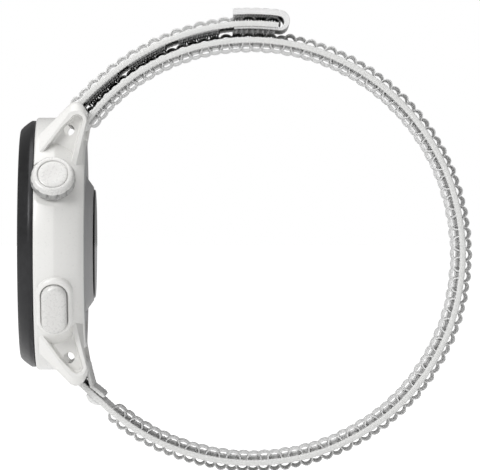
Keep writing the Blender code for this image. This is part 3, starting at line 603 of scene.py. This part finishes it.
def archUnit(tree, given):
    # half an ellipse of ribbon; Unit Length is half its span
    arc = addNode(tree, "GeometryNodeCurveArc", {"Resolution": 11, "Radius": 1.0, "Start Angle": 0.0,
                                                 "Sweep Angle": math.pi})
    spot = addNode(tree, "ShaderNodeSeparateXYZ", {0: addNode(tree,
                                                              "GeometryNodeInputPosition").outputs[0]}).outputs
    across = maths(tree, "MULTIPLY", maths(tree, "POWER", maths(tree, "ABSOLUTE", spot["X"]),
                                           given["Roundness"]),
                   maths(tree, "SIGN", spot["X"]))
    rise = maths(tree, "POWER", maths(tree, "MAXIMUM", spot["Y"], 0.0), given["Roundness"])
    shaped = addNode(tree, "ShaderNodeCombineXYZ", {"X": across, "Y": rise})
    arc = addNode(tree, "GeometryNodeSetPosition", {"Geometry": arc.outputs["Curve"],
                                                    "Position": shaped.outputs[0]})
    return ribbonOn(tree, given, arc.outputs[0])


def hookUnit(tree, given):
    # a stem that bends over to one side and points back down
    bend = addNode(tree, "GeometryNodeCurvePrimitiveBezierSegment",
                   {"Resolution": 6, "Start": (0.0, 0.0, 0.0), "Start Handle": (0.0, 1.25, 0.0),
                    "End Handle": (0.9, 1.5, 0.0), "End": (0.85, 0.45, 0.0)})
    return ribbonOn(tree, given, bend.outputs[0])


def stitchUnit(tree, given):
    grain = addNode(tree, "GeometryNodeMeshUVSphere", {"Segments": 8, "Rings": 5, "Radius": 0.5})
    return addNode(tree, "GeometryNodeTransform", {"Geometry": grain.outputs[0],
                                                   "Scale": blockSize(tree, given)}).outputs[0]


def tickUnit(tree, given):
    return addNode(tree, "GeometryNodeMeshCube", {"Size": blockSize(tree, given)}).outputs[0]


def rowTree(name, makeUnit, staggered=True):
    tree = bpy.data.node_groups.new(name, "GeometryNodeTree")
    tree.interface.new_socket("Geometry", in_out="INPUT", socket_type="NodeSocketGeometry")
    for size in unitSizes:
        tree.interface.new_socket(size, in_out="INPUT", socket_type="NodeSocketFloat")
    for count in ("Columns", "Seed"):
        tree.interface.new_socket(count, in_out="INPUT", socket_type="NodeSocketInt")
    tree.interface.new_socket("Finish", in_out="INPUT", socket_type="NodeSocketMaterial")
    tree.interface.new_socket("Geometry", in_out="OUTPUT", socket_type="NodeSocketGeometry")
    given = addNode(tree, "NodeGroupInput").outputs
    curve = addNode(tree, "GeometryNodeMeshToCurve", {"Mesh": given["Geometry"]})
    spots = addNode(tree, "GeometryNodeCurveToPoints", {"Curve": curve.outputs[0], "Length": given["Pitch"]},
                    mode="LENGTH")
    along = addNode(tree, "ShaderNodeSeparateXYZ", {0: spots.outputs["Tangent"]}).outputs
    turn = maths(tree, "ARCTAN2", maths(tree, "MULTIPLY", along["Z"], -1.0), along["X"])
    euler = addNode(tree, "ShaderNodeCombineXYZ", {"Y": turn})
    rotation = addNode(tree, "FunctionNodeEulerToRotation", {0: euler.outputs[0]})
    lift = addNode(tree, "ShaderNodeCombineXYZ", {"Z": given["Lift"]})
    unit = addNode(tree, "GeometryNodeTransform", {"Geometry": makeUnit(tree, given),
                                                   "Translation": lift.outputs[0]})
    half = maths(tree, "MULTIPLY", maths(tree, "SUBTRACT", given["Columns"], 1.0), -0.5)
    firstY = maths(tree, "MULTIPLY", half, given["Column Pitch"])
    share = 2.0 if staggered else 1.0
    step = addNode(tree, "ShaderNodeCombineXYZ", {"Y": maths(tree, "MULTIPLY", given["Column Pitch"], share)})
    parity = maths(tree, "MODULO", addNode(tree, "GeometryNodeInputIndex").outputs[0], 2.0)
    joined = addNode(tree, "GeometryNodeJoinGeometry")
    for odd in ((0, 1) if staggered else (0,)):
        start = maths(tree, "ADD", firstY, maths(tree, "MULTIPLY", given["Column Pitch"], float(odd)))
        begin = addNode(tree, "ShaderNodeCombineXYZ", {"Y": start})
        count = maths(tree, "DIVIDE", given["Columns"], share)
        line = addNode(tree, "GeometryNodeMeshLine", {"Count": count, "Start Location": begin.outputs[0],
                                                      "Offset": step.outputs[0]}, mode="OFFSET")
        row = addNode(tree, "GeometryNodeInstanceOnPoints", {"Points": line.outputs[0],
                                                             "Instance": unit.outputs[0]})
        rows = addNode(tree, "GeometryNodeInstanceOnPoints", {"Points": spots.outputs["Points"],
                                                              "Instance": row.outputs[0],
                                                              "Rotation": rotation.outputs[0]})
        if staggered:
            chosen = maths(tree, "COMPARE", parity, float(odd), 0.5)
            tree.links.new(chosen, rows.inputs["Selection"])
        tree.links.new(rows.outputs[0], joined.inputs[0])
    whole = addNode(tree, "GeometryNodeRealizeInstances", {"Geometry": joined.outputs[0]})
    wander = addNode(tree, "ShaderNodeTexNoise", {"W": given["Seed"], "Scale": 700.0, "Detail": 1.0},
                     noise_dimensions="4D")
    centred = addNode(tree, "ShaderNodeVectorMath", {0: wander.outputs["Color"], 1: (0.5, 0.5, 0.5)},
                      operation="SUBTRACT")
    shift = addNode(tree, "ShaderNodeVectorMath", {0: centred.outputs[0], "Scale": given["Unevenness"]},
                    operation="SCALE")
    moved = addNode(tree, "GeometryNodeSetPosition", {"Geometry": whole.outputs[0],
                                                      "Offset": shift.outputs[0]})
    real = addNode(tree, "GeometryNodeRealizeInstances", {"Geometry": moved.outputs[0]})
    dressed = addNode(tree, "GeometryNodeSetMaterial", {"Geometry": real.outputs[0],
                                                        "Material": given["Finish"]})
    addNode(tree, "NodeGroupOutput", {"Geometry": dressed.outputs[0]})
    return tree


rowTrees = {
    "arches": rowTree("loopRows", archUnit),
    "hooks": rowTree("hookRows", hookUnit),
    "stitches": rowTree("stitchRow", stitchUnit, staggered=False),
    "ticks": rowTree("tickRing", tickUnit, staggered=False),
}


def rowsAlong(name, kind, line, sizes, finish, sharp=40.0):
    # line is a list of (x, y, z) in mm; sizes are in mm apart from Columns and Seed
    mesh = bpy.data.meshes.new(name)
    mesh.from_pydata([Vector(point) * mm for point in line], [(i, i + 1) for i in range(len(line) - 1)], [])
    piece = addObject(name, mesh)
    modifier = piece.modifiers.new("rows", "NODES")
    modifier.node_group = rowTrees[kind]
    for item in rowTrees[kind].interface.items_tree:
        if item.name in sizes:
            value = sizes[item.name]
            modifier[item.identifier] = value if item.name in ("Columns", "Seed", "Roundness") else value * mm
        if item.name == "Finish":
            modifier[item.identifier] = finish
    graph = bpy.context.evaluated_depsgraph_get()
    made = bpy.data.meshes.new_from_object(piece.evaluated_get(graph))
    piece.modifiers.clear()
    piece.data = made
    bm = bmesh.new()
    bm.from_mesh(made)
    bmesh.ops.recalc_face_normals(bm, faces=bm.faces)
    bm.to_mesh(made)
    bm.free()
    return resharpen(piece, sharp)


def joinMeshes(name, pieces):
    bm = bmesh.new()
    for piece in pieces:
        bm.from_mesh(piece.data)
        bpy.data.objects.remove(piece, do_unlink=True)
    mesh = bpy.data.meshes.new(name)
    bm.to_mesh(mesh)
    bm.free()
    return addObject(name, mesh)


# minute and hour marks on the dial, under the glass

dial = {"depth": 11.1, "minutes": {"reach": 15.9, "count": 60, "Unit Length": 0.16, "Unit Height": 0.8},
        "hours": {"reach": 14.2, "count": 12, "Unit Length": 0.42, "Unit Height": 1.9}}
dialAxes = Matrix(((0, 1, 0, -dial["depth"] * mm), (-1, 0, 0, 0), (0, 0, 1, 0), (0, 0, 0, 1)))
for ringName in ("minutes", "hours"):
    ring = dial[ringName]
    turnStep = 360.0 / ring["count"]
    circle = [(ring["reach"] * math.cos(math.radians(angle)), 0.0,
               ring["reach"] * math.sin(math.radians(angle)))
              for angle in (turnStep * index for index in range(ring["count"]))]
    chord = 2.0 * ring["reach"] * math.sin(math.radians(turnStep / 2.0))
    sizes = {"Pitch": chord * 0.9999, "Unit Length": ring["Unit Length"], "Unit Height": ring["Unit Height"],
             "Unit Width": 0.06, "Column Pitch": 1.0, "Columns": 1, "Seed": 1}
    marks = rowsAlong(ringName + "Marks", "ticks", circle, sizes, finishes["mark"])
    marks.data.transform(dialAxes)
    place(marks, "watch", "screen", finishes["mark"])
print("dial made")


# the woven strap; its line lies in the world X-Z plane, in mm

strap = {
    "centre": Vector((25.68, -1.15)), "reach": 34.95, "wrap": 1.45,
    "upperBar": Vector((-2.7, 20.6)), "lowerBar": Vector((-2.7, -20.6)),
    "hem": [Vector(spot) for spot in ((1.66, -25.2), (1.4, -24.95), (0.3, -24.05), (-0.44, -23.5))],
    "halfWidth": 11.0, "edgeHalf": 0.5, "middleHalf": 0.30, "ropePitch": 0.62, "ropeDepth": 0.035,
    "spacing": 0.15, "tailStart": 141.5, "tailEnd": 82.9,
    "bendFrom": 114.0, "hemLength": 5.4, "hemThin": 0.62, "rootStart": (-0.0038, 0.0, 0.0223),
    "rootEnd": (0.0012, 0.0, 0.0264),
}


# degrees round the loop, and the distance from its centre
tailTable = ((142.5, 37.21), (138.0, 37.08), (130.0, 37.0), (120.0, 37.06), (110.0, 37.18), (100.0, 37.3),
             (92.0, 37.38), (80.0, 37.38))
bandTable = ((-135.0, 34.95), (-125.0, 34.92), (-105.0, 34.83), (-85.0, 34.89), (-65.0, 35.1), (-45.0, 35.27),
             (-25.0, 35.17), (-5.0, 34.95), (15.0, 34.75), (35.0, 34.71), (75.0, 34.7), (95.0, 34.7),
             (120.0, 34.68),
             (126.0, 34.68))


def polar(centre, reach, degrees):
    return centre + reach * Vector((math.cos(math.radians(degrees)), math.sin(math.radians(degrees))))


def arcLine(centre, reach, start, stop, steps):
    return [polar(centre, reach, start + (stop - start) * step / steps) for step in range(steps + 1)]


def bearing(vector):
    return math.degrees(math.atan2(vector.y, vector.x))


def evenLine(points, spacing):
    # the same line with points at equal distances
    reaches = [0.0]
    for first, second in zip(points, points[1:]):
        reaches.append(reaches[-1] + (second - first).length)
    count = max(2, round(reaches[-1] / spacing))
    result = []
    index = 0
    for step in range(count + 1):
        want = reaches[-1] * step / count
        while index < len(points) - 2 and reaches[index + 1] < want:
            index += 1
        share = (want - reaches[index]) / max(1e-9, reaches[index + 1] - reaches[index])
        result.append(points[index].lerp(points[index + 1], min(1.0, share)))
    return result


selvedge = {      # how the edge of the weave rounds off and thins towards the middle
    "rounding": ((0.0, 0.0), (0.0, 0.62), (0.05, 0.82), (0.14, 0.95), (0.3, 1.0), (0.5, 1.0)),
    "slope": (0.85, 1.15, 1.5), "width": 1.5, "middles": (0.6, 0.3, 0.0),
    "edgeOn": 0.3, "innerFrom": -0.2, "innerHalf": 10.3,
}


def edgedSection(half, edge, middle):
    # half of the outline, as (across, thickness), from the near selvedge to the far one
    rows = [(half - inset, edge * share) for inset, share in selvedge["rounding"]]
    rows += [(half - inset,
              middle + (edge - middle) * (selvedge["width"] - inset)) for inset in selvedge["slope"]]
    rows += [(half * share, middle) for share in selvedge["middles"]]
    return rows + [(-y, thick) for y, thick in reversed(rows[:-1])]


def evenThickness(share):
    return 1.0


def sweep(name, line, outline, thickness=evenThickness, rope=None):
    # outline: (across, off) ring in mm; off is along the line's right-hand side
    bm = bmesh.new()
    inward = bm.verts.layers.float.new("inward")
    rings = []
    travelled = 0.0
    for index, point in enumerate(line):
        ahead = line[min(index + 1, len(line) - 1)]
        behind = line[max(index - 1, 0)]
        if index:
            travelled += (point - line[index - 1]).length
        direction = (ahead - behind).normalized()
        side = Vector((direction.y, -direction.x))
        size = thickness(index / (len(line) - 1))
        ring = []
        for across, off in outline:
            bulge = 0.0
            if rope and abs(across) > rope["from"]:
                lay = math.atan2(off, abs(across) - rope["from"] - 0.5) / (2 * math.pi)
                bulge = rope["depth"] * math.sin(2 * math.pi * (travelled / rope["pitch"] + 2.0 * lay))
            reach = off * size + bulge * (1 if off >= 0 else -1)
            spread = across + (bulge if abs(off) < selvedge["edgeOn"] else 0.0) * (1 if across > 0 else -1)
            spot = point + side * reach
            corner = bm.verts.new((spot.x * mm, spread * mm, spot.y * mm))
            wristSide = off < selvedge["innerFrom"] and abs(across) < selvedge["innerHalf"]
            corner[inward] = 1.0 if wristSide else 0.0
            ring.append(corner)
        rings.append(ring)
    skin(bm, rings)
    return pieceFrom(name, bm, None, 50.0)


def ringOf(half, edge, middle):
    top = edgedSection(half, edge, middle)
    return top + [(across, -off) for across, off in reversed(top[1:-1])]


def eased(table, degrees):
    # smooth steps between the rows of a table that runs either way
    rows = sorted(table)
    if degrees <= rows[0][0]:
        return rows[0][1]
    for (first, low), (last, high) in zip(rows, rows[1:]):
        if degrees <= last:
            share = (degrees - first) / (last - first)
            return low + (high - low) * share * share * (3.0 - 2.0 * share)
    return rows[-1][1]


def tailReach(degrees):
    # the tail lies down on the band and rises again over the end tab
    return eased(tailTable, degrees)


def loopReach(degrees):
    # the band, which bends in to the upper bar at its end
    toBar = strap["upperBar"] - strap["centre"]
    upper = bearing(toBar)
    ease = max(0.0, (degrees - strap["bendFrom"]) / (upper - strap["bendFrom"]))
    return eased(bandTable, degrees) + (toBar.length - strap["wrap"] - bandTable[-1][1]) * ease * ease


def bandLine():
    centre, bar, wrap = strap["centre"], strap["lowerBar"], strap["wrap"]
    toBar = bar - centre
    leave = bearing(toBar) + math.degrees(math.acos((strap["reach"] - wrap) / toBar.length))
    hemStart = strap["hem"][-1]
    toHem = hemStart - bar
    turn = bearing(toHem) + math.degrees(math.acos(wrap / toHem.length))
    line = strap["hem"] + arcLine(bar, wrap, turn, leave + 360.0, 40)
    upper = bearing(strap["upperBar"] - centre)
    for step in range(401):
        degrees = leave + (upper - leave) * step / 400
        line.append(polar(centre, loopReach(degrees), degrees))
    line += arcLine(strap["upperBar"], wrap, upper + 180.0, 8.0, 30)[1:]
    return line


def loopPath(start, stop, reachOf, step=0.5):
    count = max(2, round(abs(stop - start) / step))
    path = []
    for index in range(count + 1):
        degrees = start + (stop - start) * index / count
        spot = polar(strap["centre"], reachOf(degrees), degrees)
        path.append((spot.x, 0.0, spot.y))
    return path


rope = {"from": 9.6, "depth": strap["ropeDepth"], "pitch": strap["ropePitch"]}
baseRing = ringOf(strap["halfWidth"], strap["edgeHalf"], strap["middleHalf"])
bandPoints = evenLine(bandLine(), strap["spacing"])
hemShare = strap["hemLength"] / (len(bandPoints) * strap["spacing"])


def bandThickness(share):
    # the hem's return is thinner, with a rounded end
    thin = strap["hemThin"]
    if share < hemShare:
        return thin * min(1.0, 0.3 + 0.7 * math.sqrt(share / hemShare * 12.0))
    return thin + 0.38 * min(1.0, (share - hemShare) / hemShare)


band = sweep("strapBase", bandPoints, baseRing, bandThickness, rope=rope)
place(band, "watch", "weave", finishes["base"], "strap_band")

hemFold = {"from": Vector((-1.32, -24.75)), "to": Vector((0.8, -26.45)), "thin": 0.06, "swell": 0.62,
           "steps": 24}


def foldThickness(share):
    return hemFold["thin"] + hemFold["swell"] * math.sin(math.pi * share) ** 0.7


foldLine = [hemFold["from"].lerp(hemFold["to"],
                                 step / hemFold["steps"]) for step in range(hemFold["steps"] + 1)]
fold = sweep("hemFold", foldLine, ringOf(strap["halfWidth"] - 0.1, 1.0, 0.94), foldThickness)
place(fold, "watch", "weave", finishes["weave"])

loopSizes = {"Pitch": 1.74, "Unit Length": 1.08, "Unit Width": 1.9, "Unit Thickness": 0.2,
             "Column Pitch": 2.05,
             "Columns": 8, "Lift": 0.26, "Unevenness": 0.09, "Roundness": 1.0}
loops = {      # what each kind of loop changes
    "outer": {"Unit Height": 1.34, "Seed": 3},
    "pressed": {"Unit Height": 1.0, "Unit Width": 0.9, "Unit Thickness": 0.14, "Unevenness": 0.08, "Seed": 4},
    "inner": {"Unit Length": 1.16, "Unit Height": 1.18, "Lift": 0.24, "Unevenness": 0.07, "Roundness": 0.85,
              "Seed": 5},
    "tail": {"Pitch": 1.9, "Unit Length": 1.2, "Unit Height": 1.18, "Unit Thickness": 0.22, "Roundness": 0.95,
             "Seed": 8},
}
spans = {"outer": (79.4, -129.4), "pressed": (139.0, 81.5), "inner": (-129.1, 140.2), "tail": (139.6, 84.4)}


def loopRows(kind, reachOf, finish):
    return rowsAlong(kind + "Loops", "arches", loopPath(*spans[kind], reachOf),
                     dict(loopSizes, **loops[kind]), finish)


for kind, finish in (("outer", "weave"), ("pressed", "weave"), ("inner", "weaveShadedInner")):
    bandRows = place(loopRows(kind, loopReach, finishes[finish]), "watch", "weave", finishes[finish])
    print(kind, "loops made:", len(bandRows.data.polygons))

tailSpan = strap["tailStart"] - strap["tailEnd"]
tailLine = [polar(strap["centre"], tailReach(degrees), degrees)
            for degrees in (strap["tailStart"] - tailSpan * step / 300 for step in range(301))]
tail = sweep("tailBase", evenLine(tailLine, strap["spacing"])[::-1], baseRing, rope=rope)
tailRows = loopRows("tail", tailReach, finishes["weave"])

hookSizes = {"Pitch": 0.42, "Unit Length": 0.28, "Unit Height": 0.34, "Unit Width": 0.13,
             "Unit Thickness": 0.12,
             "Column Pitch": 0.86, "Columns": 24, "Lift": 0.0, "Unevenness": 0.05, "Seed": 11}


patchShape = {"first": 138.0, "length": 11.0, "step": 14.5, "offset": -0.58, "half": 0.09, "halfWidth": 10.6,
              "overlap": 0.4}


def hookPatch(name, start, stop):
    # a thin tape with hooks on its lower face
    half = patchShape["half"]

    def tapeReach(degrees):
        return tailReach(degrees) + patchShape["offset"]

    def faceReach(degrees):
        return tapeReach(degrees) - half

    line = [polar(strap["centre"], tapeReach(degrees), degrees)
            for degrees in (start + (stop - start) * step / 40 for step in range(41))]
    tape = sweep(name + "Tape", evenLine(line, 0.4), ringOf(patchShape["halfWidth"], half, half))
    path = loopPath(stop + patchShape["overlap"], start - patchShape["overlap"], faceReach)
    hooks = rowsAlong(name + "Hooks", "hooks", path, hookSizes, finishes["hooks"])
    return resharpen(joinMeshes(name, [tape, hooks]), 40.0)


patches = []
for index in range(3):
    start = patchShape["first"] - patchShape["step"] * index
    patches.append(hookPatch("hookPatch%d" % (index + 1), start, start - patchShape["length"]))
print("tail made:", len(tailRows.data.polygons), [len(patch.data.polygons) for patch in patches])


# the folded end tab

tab = {"low": 36.74, "high": 39.44, "start": 94.2, "bend": 83.0, "halfLow": 0.13, "halfBend": 0.5,
       "halfHigh": 0.49,
       "corner": 0.12, "groove": 0.06, "foldFrom": 0.38, "foldTo": 0.62, "foldSpan": 0.24}


def tabRing(half):
    # square edges with fine grooves of the folded cloth's layers
    edge = []
    for level in range(13):
        off = -half + 2 * half * level / 12
        corner = tab["corner"] if level in (0, 12) else 0.0
        groove = tab["groove"] if level % 3 == 0 and 0 < level < 12 else 0.0
        edge.append((strap["halfWidth"] - corner - groove, off))
    rim = strap["halfWidth"] - 0.4
    top = [(across, half) for across in (rim, 9.0, 5.0, 0.0, -5.0, -9.0, -rim)]
    mirrored = [(-across, off) for across, off in reversed(edge)]
    return edge + top + mirrored + [(across, -off) for across, off in reversed(top)]


def makeTab():
    centre = strap["centre"]
    middle = (tab["low"] + tab["high"]) / 2
    pivot = polar(centre, middle, tab["bend"])
    line = arcLine(centre, tab["low"], tab["start"], tab["bend"], 30)
    line += arcLine(pivot, (tab["high"] - tab["low"]) / 2, tab["bend"] - 180.0, tab["bend"], 30)[1:]
    line += arcLine(centre, tab["high"], tab["bend"], tab["start"], 30)[1:]

    def thickness(share):
        if share < tab["foldFrom"]:
            return tab["halfLow"] / tab["halfHigh"]
        if share < tab["foldTo"]:
            turn = (share - tab["foldFrom"]) / tab["foldSpan"]
            swell = math.sin(math.pi * turn)
            low = tab["halfLow"] + (tab["halfHigh"] - tab["halfLow"]) * turn
            return (low + (tab["halfBend"] - 0.33) * swell) / tab["halfHigh"]
        return 1.0

    return sweep("tabCloth", evenLine(line, 0.25), tabRing(tab["halfHigh"]), thickness)


tabCloth = makeTab()


def lowReach(degrees):
    return tab["low"] - tab["halfLow"]


def highReach(degrees):
    return tab["high"] - tab["halfHigh"]


def topReach(degrees):
    return tab["high"] + tab["halfHigh"]


lowHookSizes = dict(hookSizes, **{"Unit Height": 0.6, "Unit Width": 0.2, "Unit Thickness": 0.17, "Seed": 12})
tabHooksLow = rowsAlong("tabHooksLow", "hooks", loopPath(83.8, 94.2, lowReach), lowHookSizes,
                        finishes["hooks"])
tabHooksHigh = rowsAlong("tabHooksHigh", "hooks", loopPath(83.4, 93.8, highReach), hookSizes,
                         finishes["hooks"])
tabHooks = joinMeshes("tabHooks", [tabHooksLow, tabHooksHigh])
stitchSizes = {"Pitch": 1.5, "Unit Length": 1.2, "Unit Height": 0.16, "Unit Width": 0.3,
               "Unit Thickness": 0.2,
               "Column Pitch": 19.4, "Columns": 2, "Lift": 0.03, "Unevenness": 0.03, "Seed": 2}
seam = rowsAlong("tabStitches", "stitches", loopPath(93.2, 84.0, topReach), stitchSizes, finishes["tab"])

bending = (tail, tailRows, patches[0])
for piece, finish, replaced in (
        (tail, "base", ["strap_tail"]), (tailRows, "weave", []), (tabCloth, "tab", ["strap_end_tab"]),
        (tabHooks, "hooks", []), (seam, "tab", []), (patches[0], "hooks", ["hook_patch_1"]),
        (patches[1], "hooks", ["hook_patch_2"]), (patches[2], "hooks", ["hook_patch_3"])):
    slotName = {"base": "weave"}.get(finish, finish)
    place(piece, None if piece in bending else "strap_tail", slotName, finishes[finish], *replaced)
    if piece in bending:      # the cloth bends where it leaves the upper bar; these pieces get no body, and their placement is baked into the mesh
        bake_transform(piece)
print("tab made")


# stage, light and camera

studio = {
    "floorSize": 40.0, "floorGap": 0.0012, "floorGrey": (0.9, 0.9, 0.9, 1.0), "white": (1.0, 1.0, 1.0, 1.0),
    "floorGlow": 0.22, "floorSeen": 0.9, "ambient": 0.25,
    "lights": {"topSoft": ((-0.10, -0.10, 0.60), (0.5, 0.5), 1.9),
               "keySoft": ((-0.42, -0.58, 0.40), (0.3, 0.3), 3.0),
               "leftSoft": ((-0.60, 0.0, 0.05), (0.5, 0.7), 0.3)},
}

bpy.ops.mesh.primitive_plane_add(size=studio["floorSize"], location=(0.0, 0.0,
                                                                     cadBox[0][2] - studio["floorGap"]))
floor = bpy.context.object
floor.name = "floor"
floorFinish = bpy.data.materials.new("floorFinish")
floorFinish.use_nodes = True
floorShader = floorFinish.node_tree.nodes["Principled BSDF"]
floorShader.inputs["Base Color"].default_value = studio["floorGrey"]
floorShader.inputs["Roughness"].default_value = 0.9
floorShader.inputs["Emission Color"].default_value = studio["white"]
floorSeen = addNode(floorFinish.node_tree, "ShaderNodeLightPath")
floorGlow = addNode(floorFinish.node_tree, "ShaderNodeMapRange", {
    "Value": floorSeen.outputs["Is Camera Ray"], "To Min": studio["floorGlow"],
    "To Max": studio["floorSeen"]})
floorFinish.node_tree.links.new(floorGlow.outputs[0], floorShader.inputs["Emission Strength"])
floor.data.materials.append(floorFinish)

world = bpy.data.worlds.new("studio")
scene.world = world
world.use_nodes = True
worldTree = world.node_tree
worldTree.nodes.clear()
path = addNode(worldTree, "ShaderNodeLightPath")
seen = addNode(worldTree, "ShaderNodeBackground", {"Color": studio["white"], "Strength": 1.0})
given = addNode(worldTree, "ShaderNodeBackground", {"Color": studio["white"], "Strength": studio["ambient"]})
mixed = addNode(worldTree, "ShaderNodeMixShader", {0: path.outputs["Is Camera Ray"], 1: given.outputs[0],
                                                   2: seen.outputs[0]})
addNode(worldTree, "ShaderNodeOutputWorld", {0: mixed.outputs[0]})
scene.view_settings.view_transform = "Standard"


def softLight(name, spot, size, watts, target=(0.02, 0.0, 0.0)):
    lamp = bpy.data.lights.new(name, "AREA")
    lamp.shape = "RECTANGLE"
    lamp.size, lamp.size_y = size
    lamp.energy = watts
    holder = addObject(name, lamp)
    holder.location = spot
    holder.rotation_euler = (Vector(target) - Vector(spot)).to_track_quat("-Z", "Y").to_euler()
    return holder


for lampName, (spot, size, watts) in studio["lights"].items():
    softLight(lampName, spot, size, watts)

view = {"lens": 442.0, "sensor": 36.0, "nearest": 0.01, "spot": (0.02395, -0.980, 0.00146), "pitch": 90.0}
camera = bpy.data.cameras.new("camera")
camera.lens = view["lens"]
camera.sensor_width = view["sensor"]
camera.clip_start = view["nearest"]
cameraHolder = addObject("camera", camera)
cameraHolder.location = view["spot"]
cameraHolder.rotation_euler = (math.radians(view["pitch"]), 0.0, 0.0)
scene.camera = cameraHolder
